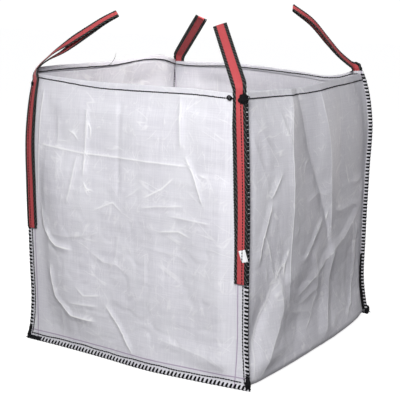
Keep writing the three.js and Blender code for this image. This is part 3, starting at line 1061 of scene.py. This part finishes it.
def u_panel():
    """The U-shaped cloth: right wall, base and left wall in one length, with a hem at each end."""
    count = int(WALL_SPAN / CELL)
    right, right_marks = side_grid("right", count, CELL, ARC_HEIGHT)
    left, left_marks = side_grid("left", count, CELL, ARC_HEIGHT)
    for wall in (right, left):
        near = np.clip(1 - np.arange(count + 1) / 4, 0, 1)
        wall[..., 1] += LAYER * (near - near[::-1])
    right_arc, left_arc = base_corner(right[-1], 1), base_corner(left[-1], -1)
    base = base_rows(count, right_arc[-1], left_arc[-1])
    right_fold, left_fold = inner_hem("right", right), inner_hem("left", left)
    parts = [right_fold, right, right_arc, base, left_arc[::-1], left[::-1], left_fold[::-1]]
    grid = np.concatenate(parts)
    kinds = np.repeat([1, 1, 2, 3, 4, 5, 5], [len(part) for part in parts])
    marks = np.concatenate([padded_marks(right_marks, len(right_fold), 2 * ARC_STEPS + len(base)),
                            padded_marks(left_marks[::-1], 0, len(left_fold))])
    grid = add_side_flanges(grid, u_flange(grid[:, 0], kinds, "front"), u_flange(grid[:, -1], kinds, "back"))
    lengthwise = run_lengths(grid, 0)
    middle = lengthwise[:, lengthwise.shape[1] // 2]
    uv = np.stack([grid[..., 1], np.broadcast_to(middle[:, None], grid.shape[:2])], -1)
    stops = np.cumsum(FOLD_COLUMNS)[:-1] / np.sum(FOLD_COLUMNS)
    fold_columns = [FLANGE_STEPS + int(np.round(stop * count)) for stop in stops]
    cloth = closed_sheet("u_panel_cloth", grid, CLOTH, WOVEN, uv, marks, fold_columns)
    belongs(cloth, "woven_cloth", "u_panel")


# ---------------------------------------------------------------- overlocked seams

def seam_frames(place, heights):
    """Edge points of a side seam with its outward, along and through directions."""
    edge = edge_point(place, heights)
    edge[:, 1] -= PLACES[place][1] * LAYER / 2
    outward = seam_direction(place, heights)
    along = unit(np.gradient(edge, axis=0))
    through_way = unit(np.cross(along, outward))
    facing = through_way[:, 1] * PLACES[place][1]
    return edge, outward, along, through_way * np.sign(facing)[:, None]


def overlock_bars(pile, edge, outward, along, face, depth, half_wide, lean_share=.25):
    """Thread wrapped round a seam's edge: one rounded wrap per stitch, on both faces and round the edge."""
    count = len(edge)
    half_wide = np.broadcast_to(half_wide, (count,))
    slant = half_wide * lean_share
    gap = LAYER / 2 + CLOTH + .0007
    # along a wrap: how far out from the seam's edge, how far off its middle, how far along its lean, how wide
    stops = [(-depth, gap * .9, 1, .45), (-depth + .002, gap, .8, .85), (-depth * .5, gap + .0003, .45, 1),
             (-.0008, gap, .1, 1), (.0010, gap * .45, 0, .95), (.0013, -gap * .2, 0, .95),
             (-.0008, -gap, -.1, 1), (-depth * .5, -gap - .0003, -.45, 1), (-depth + .002, -gap, -.8, .85),
             (-depth, -gap * .9, -1, .45)]
    wander = np.array([[pile.rng.uniform(-1, 1) for _ in range(3)] for _ in range(count)])
    paths = np.zeros((count, len(stops), 3))
    for k, (reach, off, lean, _) in enumerate(stops):
        deeper = reach * (1 + .10 * wander[:, 0]) if reach < -.002 else np.full(count, reach)
        paths[:, k] = (edge + outward * deeper[:, None] + face * off
                       + along * (slant * lean + .0007 * wander[:, 1])[:, None])
    widths = half_wide[:, None] * np.array([stop[3] for stop in stops])
    sideways = np.broadcast_to(along[:, None], paths.shape)
    upright = unit(np.cross(unit(np.gradient(paths, axis=1)), sideways))
    pile.add(*swept(paths, sideways, upright, widths, np.full(len(stops), WRAP_THICKNESS), ROUND))


def edge_chain(pile, edge, outward, face):
    """The looped thread that runs along a seam's edge and joins the wraps."""
    at = np.linspace(0, len(edge) - 1, len(edge) * 4)

    def between(rows):
        return np.stack([np.interp(at, np.arange(len(edge)), rows[:, k]) for k in range(3)], -1)

    out = .0012 + .0007 * np.sin(at * math.pi * 2)
    off = .0010 * np.cos(at * 3)
    thread(pile, between(edge) + between(outward) * out[:, None] + between(face) * off[:, None], .0008)


def bunched_threads(pile):
    """Eight thick black thread strands laid side by side beside the back right seam, from near its foot up to
    about .24 m, as a dark strip.
    """
    heights = np.linspace(.030, .240, 26)
    for strand in range(8):
        share = .994 - .0036 * strand * smooth(heights, .27, .05)
        beside = side_surface("right", share, heights)[0]
        beside[:, 0] += .0028 + .0008 * np.sin(heights * 90 + strand * 2)
        beside[:, 1] += .0012 * np.cos(heights * 70 + strand * 3)
        thread(pile, beside, .0025)


def side_seam(place):
    """The overlocking up a corner. At the front its wraps are wide beside the strap and close at the foot."""
    pile = Pile(f"seam {place}")
    at_front = PLACES[place][1] < 0
    top = through(RIM[panel_beside(place)], [PLACES[place][0] * RIM_END])[0] - .002
    heights = np.arange(.014, top, STITCH_PITCH)
    edge, outward, along, face = seam_frames(place, heights)
    half_wide = np.where((heights > LEG_END[place]) & at_front, WIDE_WRAP, NARROW_WRAP)
    overlock_bars(pile, edge, outward, along, face, WRAP_DEPTH, half_wide, SEAM_LEAN)
    edge_chain(pile, edge, outward, face)
    if place == "back_right":
        bunched_threads(pile)
    if at_front:
        overlock_bars(pile, *seam_frames(place, np.arange(.006, .045, .0048)), WRAP_DEPTH, DENSE_WRAP)
    pile.build(f"overlock_{place}", "thread", "overlock_thread")


def bottom_frames(side, spacing):
    """Edge points of a bottom seam with its outward, along and through directions."""
    sign = SIDES[side]["sign"]
    first, last = roots_at(side, ROOT_HEIGHT)
    x = np.arange(first - .008, last + .008, spacing)
    z = np.full(x.shape, ROOT_HEIGHT)
    outward = np.broadcast_to(bottom_direction(sign), (len(x), 3))
    edge = np.stack([x, panel_out(side, x, z) - sign * LAYER / 2, z], -1) + outward * FLANGE
    along = unit(np.gradient(edge, axis=0))
    face = unit(np.cross(along, outward))
    return edge, outward, along, face * np.sign(face[:, 1] * sign)[:, None]


def bottom_seam(side):
    """The overlocking along the foot of the front or back panel, with close wraps at its left end."""
    pile = Pile(f"bottom {side}")
    edge, outward, along, face = bottom_frames(side, BOTTOM_PITCH)
    overlock_bars(pile, edge, outward, along, face, BOTTOM_DEPTH, BOTTOM_WRAP, BOTTOM_LEAN)
    edge_chain(pile, edge, outward, face)
    dense = bottom_frames(side, .0052)
    near = dense[0][:, 0] < dense[0][0, 0] + .06
    overlock_bars(pile, *(part[near] for part in dense), WRAP_DEPTH, BOTTOM_DENSE_WRAP)
    pile.build(f"overlock_{side}_bottom", "thread", "overlock_thread")


# ---------------------------------------------------------------- chain stitches

def chain_links(pile, path, hint, pitch, length, radius):
    """A row of chain stitches: one plump link per stitch, each overlapping the next at its ends."""
    points, tangent = spread_evenly(path, pitch)
    stops = np.linspace(-.5, .5, 5)
    taper = np.array([.45, .95, 1.1, .95, .45])
    side = unit(np.cross(tangent, hint))
    up = np.cross(side, tangent)
    wander = np.array([pile.rng.uniform(-1, 1) for _ in points])
    paths = (points[:, None] + tangent[:, None] * (stops * length)[None, :, None]
             + side[:, None] * (.0004 * wander)[:, None, None]
             + up[:, None] * (.35 * radius * np.cos(stops * math.pi))[None, :, None])
    pile.add(*swept(paths, np.repeat(side[:, None], 5, 1), np.repeat(up[:, None], 5, 1),
                    radius * taper, radius * .75 * taper, THIN))


def strap_frame(place, z):
    """Middle, width direction and outward normal of the sewn webbing at given heights."""
    sx, sy = PLACES[place]
    side = panel_beside(place)
    edge = edge_point(place, z)
    inner_x = edge[:, 0] - sx * (WEB_WIDTH + STRAP_INSET[place] - .002)
    inner = np.stack([inner_x, panel_out(side, inner_x, z), z], -1)
    width_way = unit(edge - inner)
    normal = unit(np.cross(width_way, UP))
    normal = normal * np.sign(normal[:, 1] * sy)[:, None]
    middle = edge - width_way * (WEB_WIDTH / 2 + STRAP_INSET[place])
    bow = np.abs(panel_out(side, middle[:, 0], z)) - np.abs(middle[:, 1])
    return middle + normal * np.maximum(bow, 0)[:, None], width_way, normal


def strap_at(place, height):
    """The same at one height."""
    return [part[0] for part in strap_frame(place, np.array([height]))]


def on_cloth(side, x, z):
    """Points just above a panel's outer face."""
    sign = SIDES[side]["sign"]
    return np.stack([x, panel_out(side, x, z) + sign * (CLOTH / 2 + .0006), z], -1)


def safety_stitch(place):
    """The chain stitch just inside a side seam: on the cloth below the strap's end, on the webbing and the
    label above it, and as a thin row inside the bag."""
    pile = Pile(f"safety {place}")
    sx, sy = PLACES[place]
    hint = np.array([0, sy, 0])
    low = np.arange(.026, LEG_END[place] - .006, .01)
    path = on_cloth(panel_beside(place), edge_point(place, low)[:, 0] - sx * SAFETY_INSET, low)
    chain_links(pile, path, hint, CHAIN_PITCH, CHAIN_PITCH * 1.06, CHAIN_RADIUS)
    high = np.arange(LEG_END[place] + .006, .895, .01)
    middle, width_way, normal = strap_frame(place, high)
    on_label = .0021 * smooth(high, *LABEL_RISE) * smooth(high, *LABEL_FALL) * (place == "front_right")
    lift = STRAP_LIFT + LEG_LIFT + WEB / 2 + .0001 + on_label
    path = middle + width_way * (WEB_WIDTH / 2 - SAFETY_INSET + .0008) + normal * lift[:, None]
    chain_links(pile, path, hint, CHAIN_PITCH, CHAIN_PITCH * .84, WEB_CHAIN_RADIUS)
    path = root_point(place, np.arange(.035, .88, .01)) + np.array([-sx * .0022, -sy * .0030, 0])
    chain_links(pile, path, np.array([-sx, -sy, 0]), CHAIN_PITCH, CHAIN_PITCH * .8, INNER_CHAIN_RADIUS)
    pile.build(f"safety_stitch_{place}", "chain", "chain_thread")


def bottom_stitch(side):
    """The chain stitch above a bottom seam, which wanders a little."""
    pile = Pile(f"bottom stitch {side}")
    x = np.arange(-.428, .428, .01)
    z = .0255 + .0012 * np.sin(x * 21) + .0008 * np.sin(x * 57)
    hint = np.array([0, SIDES[side]["sign"], 0])
    chain_links(pile, on_cloth(side, x, z), hint, CHAIN_PITCH, CHAIN_PITCH * 1.04, CHAIN_RADIUS)
    pile.build(f"safety_stitch_{side}_bottom", "chain", "chain_thread")


# how far each hem's stitch lies below the rim: place across the side, depth
HEM_STITCH_DEPTH = {
    "front": [(-.41, .010), (-.30, .013), (-.12, .019), (.08, .019), (.25, .017), (.41, .016)],
    "right": [(-.41, .020), (-.10, .020), (.12, .022), (.41, .023)],
    "left": [(-.41, .016), (-.16, .014), (0, .016), (.12, .018), (.27, .018), (.41, .018)],
    "back": [(-.41, .010), (-.37, .014), (-.18, .014), (-.09, .013), (.14, .009), (.24, .006), (.30, .009),
             (.41, .012)],
}


def hem_stitch(side):
    """The hem's row of stitches, seen on both faces of the cloth. One loose end stands up at the left."""
    pile = Pile(f"hem {side}")
    facts = SIDES[side]
    count = 110
    share = np.linspace(.004, .996, count)
    first, last = roots_at(side, .90)
    across = first + (last - first) * share
    z = through(RIM[side], across) - through(HEM_STITCH_DEPTH[side], across)
    middle, _ = side_surface(side, share, z)
    out = np.zeros(3)
    out[facts["out"]] = facts["sign"]
    inner = middle - out * (CLOTH * 3.2 + .0005)
    for path, hint in ((middle + out * (CLOTH / 2 + .0005), out), (inner, -out)):
        chain_links(pile, path, hint, HEM_PITCH, HEM_PITCH * .98, HEM_CHAIN_RADIUS)
    if side == "left":
        start = inner[count // 2 - 3]
        ways = ((0, 0, 0), (.003, .018, .008), (.005, .034, .024), (.003, .046, .043))
        thread(pile, [start + way for way in ways], .0008)
    pile.build(f"hem_stitch_{side}", "chain", "chain_thread")


# ---------------------------------------------------------------- webbing straps and loops

def steady(*value):
    """The same value all the way along."""
    return [(0, *value), (1, *value)]


# each free loop: the direction it lies in, its width direction along it (from the seam's inside outwards),
# the length of its upright neck, the share of its length in which it has twisted, how far it sways sideways
# along it and which way, and the gap between its two layers along it
LOOPS = {
    "front_right": {
        "along": (-.60, .62, .51), "wide": steady(.79, .53, .32), "neck": .020, "twist_end": .26,
        "sway": [(0, 0), (.3, .002), (.6, .004), (1, 0)], "sway_way": (.07, -.60, .80),
        "gap": [(0, .0024), (.1, .0035), (.4, .0055), (.8, .0050), (1, .0042)],
    },
    "front_left": {
        "along": (.608, .54, .581), "neck": .018, "twist_end": .10,
        "wide": [(0, -.672, .735, .012), (.22, -.668, .730, .010), (.55, -.788, .539, .299),
                 (1, -.788, .539, .299)],
        "sway": [(0, 0), (.14, .014), (.24, .0155), (.4, .0125), (.55, .0115), (.7, .0095), (.88, .006),
                 (1, 0)],
        "sway_way": (-.564, -.159, .812),
        "gap": [(0, .0024), (.12, .0040), (.20, .0060), (.34, .0150), (.5, .0150), (.7, .010), (.9, .0065),
                (1, .0050)],
    },
    "back_right": {
        "along": (-.525, -.525, .669), "wide": steady(-.363, .851, .383), "neck": .007, "twist_end": .11,
        "sway": [(0, 0), (.3, -.006), (.5, 0), (.75, .0085), (1, 0)], "sway_way": (.461, .486, .743),
        "gap": [(0, .0024), (.25, .0040), (.5, .0085), (.8, .0095), (1, .0060)],
    },
    "back_left": {
        "along": (.678, -.528, .511), "wide": steady(-.739, -.533, .408), "neck": .022, "twist_end": .25,
        "sway": [(0, 0), (.5, .003), (1, 0)], "sway_way": (-.11, .70, .70),
        "gap": [(0, .0024), (.12, .0060), (.3, .0110), (.7, .0120), (1, .0060)],
    },
}
NECK_BEND = .016
ACROSS = 14


def loop_frames(place):
    """Shares of the free loop's length from the rim to the crown, with its middle, width direction and normal
    there. Also the place at which its neck bends over."""
    facts = LOOPS[place]
    start, wide, normal = strap_at(place, LOOP_START)
    start = start + normal * STRAP_LIFT
    way = unit(facts["along"])
    neck = facts["neck"]
    s = np.concatenate([np.linspace(0, .08, 21), np.linspace(.08, 1, 130)[1:]])
    length = s * LOOP_LENGTH[place]
    t = np.clip((length - (neck - NECK_BEND)) / (2 * NECK_BEND), 0, 1)
    on_neck = start + UP * np.minimum(length, neck - NECK_BEND)[:, None]
    arc = (NECK_BEND * 2) * (t - t * t / 2)[:, None] * UP + (NECK_BEND * 2) * (t * t / 2)[:, None] * way
    after = np.maximum(length - (neck + NECK_BEND), 0)[:, None] * way
    middle = on_neck + arc + after + through(facts["sway"], s)[:, None] * unit(facts["sway_way"])
    tangent = unit(np.gradient(middle, axis=0))
    share = smooth(s, 0, facts["twist_end"])[:, None]
    wide = unit(wide * (1 - share) + unit(through(facts["wide"], s)) * share)
    wide = unit(wide - tangent * np.sum(wide * tangent, -1, keepdims=True))
    side_normal = unit(np.cross(wide, tangent))
    if side_normal[0] @ normal < 0:
        side_normal = -side_normal
    return s, middle, wide, side_normal, start + UP * neck


def ribbon(name, middle, wide, normal, rng):
    """A closed strip of webbing along a path, with slightly scalloped edges."""
    run = run_lengths(middle, 0)
    u = np.linspace(0, 1, ACROSS + 1)
    across = (u - .5) * 2
    half = WEB_WIDTH / 2 + SCALLOP * (np.abs(np.sin(run * math.pi / SCALLOP_PITCH)) - .75)
    cup = .0006 * np.sin(run * 23 + rng.uniform(0, 6))
    thin = WEB / 2 * np.where(np.abs(across) > .97, .55, 1)
    rows = []
    for sign in (1, -1):
        lift = sign * thin[None, :] + cup[:, None] * (1 - across[None, :] ** 2)
        rows.append(middle[:, None] + wide[:, None] * (across[None, :] * half[:, None])[..., None]
                    + normal[:, None] * lift[..., None])
    points = np.concatenate(rows).reshape(-1, 3)
    faces, index = sheet_faces(len(middle), len(u))
    corner = points[faces[0]]
    if np.cross(corner[1] - corner[0], corner[2] - corner[0]) @ (corner.mean(0) - middle[0]) < 0:
        faces = faces[:, ::-1]
    uv = np.stack([np.broadcast_to(u, index.shape), np.broadcast_to(run[:, None], index.shape)], -1)
    return make_object(name, points, faces.tolist(), WEBBING, for_both_sides(uv))


def strap(place):
    """One strap: outer sewn leg, free loop and under sewn leg in one length of webbing."""
    facts = LOOPS[place]
    end = LEG_END[place]
    s, loop_middle, loop_wide, loop_normal, corner = loop_frames(place)
    half_gap = through(facts["gap"], s) / 2

    def leg(low, layer, shift):
        z = np.arange(low, LEG_TOP, LEG_STEP)
        middle, wide, normal = strap_frame(place, z)
        aside = (shift * smooth(z, .905, .80) * smooth(z, end, end + .3))[:, None]
        return middle + normal * (STRAP_LIFT + layer * LEG_LIFT) - wide * aside, wide, normal

    outer = leg(end, 1, 0)
    under = leg(end + UNDER_LEG_EXTRA, -1, UNDER_LEG_SHIFT[place])
    upper = loop_middle + loop_normal * half_gap[:, None]
    lower = loop_middle - loop_normal * half_gap[:, None]
    tip = unit(loop_middle[-1] - loop_middle[-2])
    turns = np.linspace(0, math.pi, 7)[1:-1]
    end_normal, reach = loop_normal[-1], half_gap[-1]
    crown = [loop_middle[-1] + end_normal * reach * math.cos(a) + tip * reach * 1.3 * math.sin(a)
             for a in turns]
    crown_normal = [end_normal * math.cos(a) + tip * math.sin(a) for a in turns]
    middle = np.concatenate([outer[0], upper, crown, lower[::-1], under[0][::-1]])
    crown_wide = [loop_wide[-1]] * len(crown)
    wide = np.concatenate([outer[1], loop_wide, crown_wide, loop_wide[::-1], under[1][::-1]])
    normal = np.concatenate([outer[2], loop_normal, crown_normal, -loop_normal[::-1], -under[2][::-1]])
    piece = ribbon(f"strap_{place}", middle, wide, normal, random.Random(f"strap {place}"))
    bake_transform(piece)
    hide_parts(f"strap_outer_leg_{place}", f"strap_under_leg_{place}", f"lifting_loop_{place}")


# ---------------------------------------------------------------- knots, tails and label

TANGLE_STEPS = 14


def tangle(pile, centre, radii, turns, radius, count=1):
    """Small knots of thread in one place: each is one thread wound loosely through itself."""
    for _ in range(count):
        tilt = [pile.rng.uniform(.6, 1.4) for _ in range(3)]
        phase = [pile.rng.uniform(0, 6.28) for _ in range(3)]
        path = []
        for k in range(turns * TANGLE_STEPS):
            a = k / TANGLE_STEPS * 2 * math.pi
            around, rise = a * tilt[0] + phase[0], a * .37 * tilt[1] + phase[1]
            swell = .80 + .20 * math.sin(a * .61 * tilt[2] + phase[2])
            path.append([centre[0] + swell * radii[0] * math.cos(rise) * math.cos(around),
                         centre[1] + swell * radii[1] * math.sin(rise),
                         centre[2] + swell * radii[2] * math.cos(rise) * math.sin(around)])
        thread(pile, path, radius)


def big_knot(pile, centre, on_strap, wide, normal):
    """The front right knot: a ball of thread, a small one beside it, and a curl beyond the strap's inner
    edge."""
    for _ in range(9):
        off = wide * pile.rng.uniform(-.007, .007) + UP * pile.rng.uniform(-.007, .007)
        tangle(pile, centre + off, (.0095, .0045, .0095), 4, .0018)
    tangle(pile, centre + wide * .017 + UP * .003, (.007, .003, .007), 2, .0012)
    curl = on_strap - wide * (WEB_WIDTH / 2 + .011)
    for size in (.0075, .0062):
        ring = [curl + wide * size * math.cos(a) + UP * size * .85 * math.sin(a) - normal * .0004 * a
                for a in np.linspace(.4, 6.9, 26)]
        thread(pile, ring, .0017)
    thread(pile, [curl, curl + wide * .011, on_strap - wide * (WEB_WIDTH / 2 - .006)], .0013)


def rim_knot(place):
    """The knot and loose ends where the seam's threads finish at the rim."""
    pile = Pile(f"knot {place}")
    middle, wide, normal = strap_at(place, .897)
    on_strap = middle + normal * (STRAP_LIFT + WEB + .0030)
    centre = on_strap + wide * .0135
    if place == "front_right":
        big_knot(pile, centre, on_strap, wide, normal)
    elif place == "front_left":
        tangle(pile, centre - wide * .004, (.0055, .0030, .0070), 3, .0011, count=3)
    else:
        tangle(pile, centre, (.0065, .0030, .0070), 3, .0011, count=2)
    pile.build(f"rim_knot_{place}", "thread", "chain_thread")


def thread_tail(place):
    """The gathered ends of the seam threads at a bottom corner, thicker on the right."""
    pile = Pile(f"tail {place}")
    sx, sy = PLACES[place]
    centre = edge_point(place, np.array([.018]))[0] + np.array([-sx * .007, sy * .002, -.002])
    if sx > 0:
        centre = centre + np.array([.002, 0, .007])
        tangle(pile, centre, (.0095, .0045, .0180), 4, .0019, count=6)
    tangle(pile, centre, (.0080, .0040, .0120), 4, .0012, count=4)
    for _ in range(5):
        lean = pile.rng.uniform(-.4, .4)
        path = [centre + np.array([sx * (.004 + .003 * t) + lean * .006 * t, sy * .002 * t,
                                   -.006 - .0013 * t * t]) for t in np.linspace(0, 2, 6)]
        thread(pile, path, .0010)
    pile.build(f"thread_tail_{place}", "thread", "overlock_thread")


def label():
    """A plain white label caught under the safety stitch on the front right strap."""
    middle, wide, normal = strap_at("front_right", LABEL_HEIGHT)
    across = wide * math.cos(LABEL_TILT) + UP * math.sin(LABEL_TILT)
    upward = UP * math.cos(LABEL_TILT) - wide * math.sin(LABEL_TILT)
    centre = middle + wide * .010 + normal * (STRAP_LIFT + LEG_LIFT + WEB / 2 + .0009)
    u, v = np.meshgrid(np.linspace(-.5, .5, 10), np.linspace(-.5, .5, 14))
    curl = .0030 * np.clip(u - .1, 0, 1) ** 2 * 6 + .0004 * np.sin(v * 5 + 1)
    uv = np.stack([u * LABEL_SIZE[0], v * LABEL_SIZE[1]], -1)
    grid = centre + across * uv[..., :1] + upward * uv[..., 1:] + normal * curl[..., None]
    tag = closed_sheet("label_tag", grid, LABEL_THICKNESS, LABEL_CLOTH, uv, np.zeros(uv.shape))
    belongs(tag, "label_cloth", "label")


# ---------------------------------------------------------------- camera, light and floor

def facing(place, target):
    """The turn that points a camera or lamp at a place towards a target."""
    return (Vector(target) - Vector(place)).to_track_quat("-Z", "Y").to_euler()


def add_camera():
    """The viewing angle: from the front right, a little above the rim."""
    camera = bpy.data.objects.new("camera", bpy.data.cameras.new("camera"))
    bpy.context.scene.collection.objects.link(camera)
    camera.location = (2.060, -3.213, 1.284)
    camera.rotation_euler = facing(camera.location, (-.016, 0, .468))
    camera.data.lens = 99.3
    camera.data.sensor_width = 36
    bpy.context.scene.camera = camera


def add_area(name, location, target, size, power, colour, spread):
    """A square soft lamp, unseen by the camera."""
    light = bpy.data.lights.new(name, "AREA")
    light.size = size
    light.energy = power
    light.color = colour
    light.spread = math.radians(spread)
    lamp = bpy.data.objects.new(name, light)
    lamp.location = location
    lamp.visible_camera = False
    lamp.rotation_euler = facing(location, target)
    bpy.context.scene.collection.objects.link(lamp)


def camera_pick(tree, otherwise, seen):
    """One shader for what the camera sees directly and another for all other light."""
    path = node(tree, "ShaderNodeLightPath")
    pick = node(tree, "ShaderNodeMixShader",
                {0: path.outputs["Is Camera Ray"], 1: otherwise.outputs[0], 2: seen.outputs[0]})
    return pick.outputs[0]


def add_studio():
    """A white background, soft light from the sky and lamps at the front, at the left, behind and above."""
    world = bpy.data.worlds.new("studio")
    bpy.context.scene.world = world
    world.use_nodes = True
    tree = world.node_tree
    tree.nodes.clear()
    seen = node(tree, "ShaderNodeBackground", {"Color": (1, 1, 1, 1), "Strength": 1.05})
    place = node(tree, "ShaderNodeTexCoord").outputs["Generated"]
    height = node(tree, "ShaderNodeSeparateXYZ", {0: place}).outputs[2]
    sky = node(tree, "ShaderNodeMapRange", {"Value": height, "From Min": -.2, "From Max": 1.0, "To Min": .04,
                                            "To Max": .45})
    fill = node(tree, "ShaderNodeBackground", {"Color": (.95, .95, 1, 1), "Strength": sky.outputs[0]})
    out = node(tree, "ShaderNodeOutputWorld")
    tree.links.new(camera_pick(tree, fill, seen), out.inputs["Surface"])
    add_area("key", (1.25, -2.4, 2.15), (.05, -.2, .6), .8, 105, (1, 1, 1), 180)
    add_area("left", (-2.7, .6, .55), (-.43, .10, .60), 1.2, 36, (1, .96, .95), 180)
    add_area("back", (.4, 2.9, .60), (0, .43, .60), 1.2, 24, (1, .96, .95), 180)
    add_area("top", (.36, -.10, 1.75), (-.42, .20, .86), .3, 2.6, (1, .96, .93), 62)
    bpy.context.scene.view_settings.view_transform = "Standard"


def add_floor():
    """A large floor, which looks white to the camera and is a dull grey for the light that it sends back."""
    floor, tree, shader = new_material("floor")
    shader.inputs["Base Color"].default_value = (.3, .3, .3, 1)
    shader.inputs["Roughness"].default_value = .9
    shader.inputs["Specular IOR Level"].default_value = 0
    glow = node(tree, "ShaderNodeEmission", {"Color": (1, 1, 1, 1), "Strength": .9})
    dark = node(tree, "ShaderNodeEmission", {"Color": (0, 0, 0, 1), "Strength": 0})
    total = node(tree, "ShaderNodeAddShader", {0: shader.outputs[0], 1: camera_pick(tree, dark, glow)})
    tree.links.new(total.outputs[0], tree.nodes["Material Output"].inputs["Surface"])
    size = 14
    points = [(-size, -size, 0), (size, -size, 0), (size, size, 0), (-size, size, 0)]
    make_object("floor", np.array(points, float), [(0, 1, 2, 3)], floor)


add_camera()
add_studio()
add_floor()
u_panel()
for side in ("front", "back"):
    end_panel(side)
    bottom_seam(side)
    bottom_stitch(side)
for side in SIDES:
    hem_stitch(side)
for place in PLACES:
    side_seam(place)
    safety_stitch(place)
    strap(place)
    rim_knot(place)
    thread_tail(place)
label()
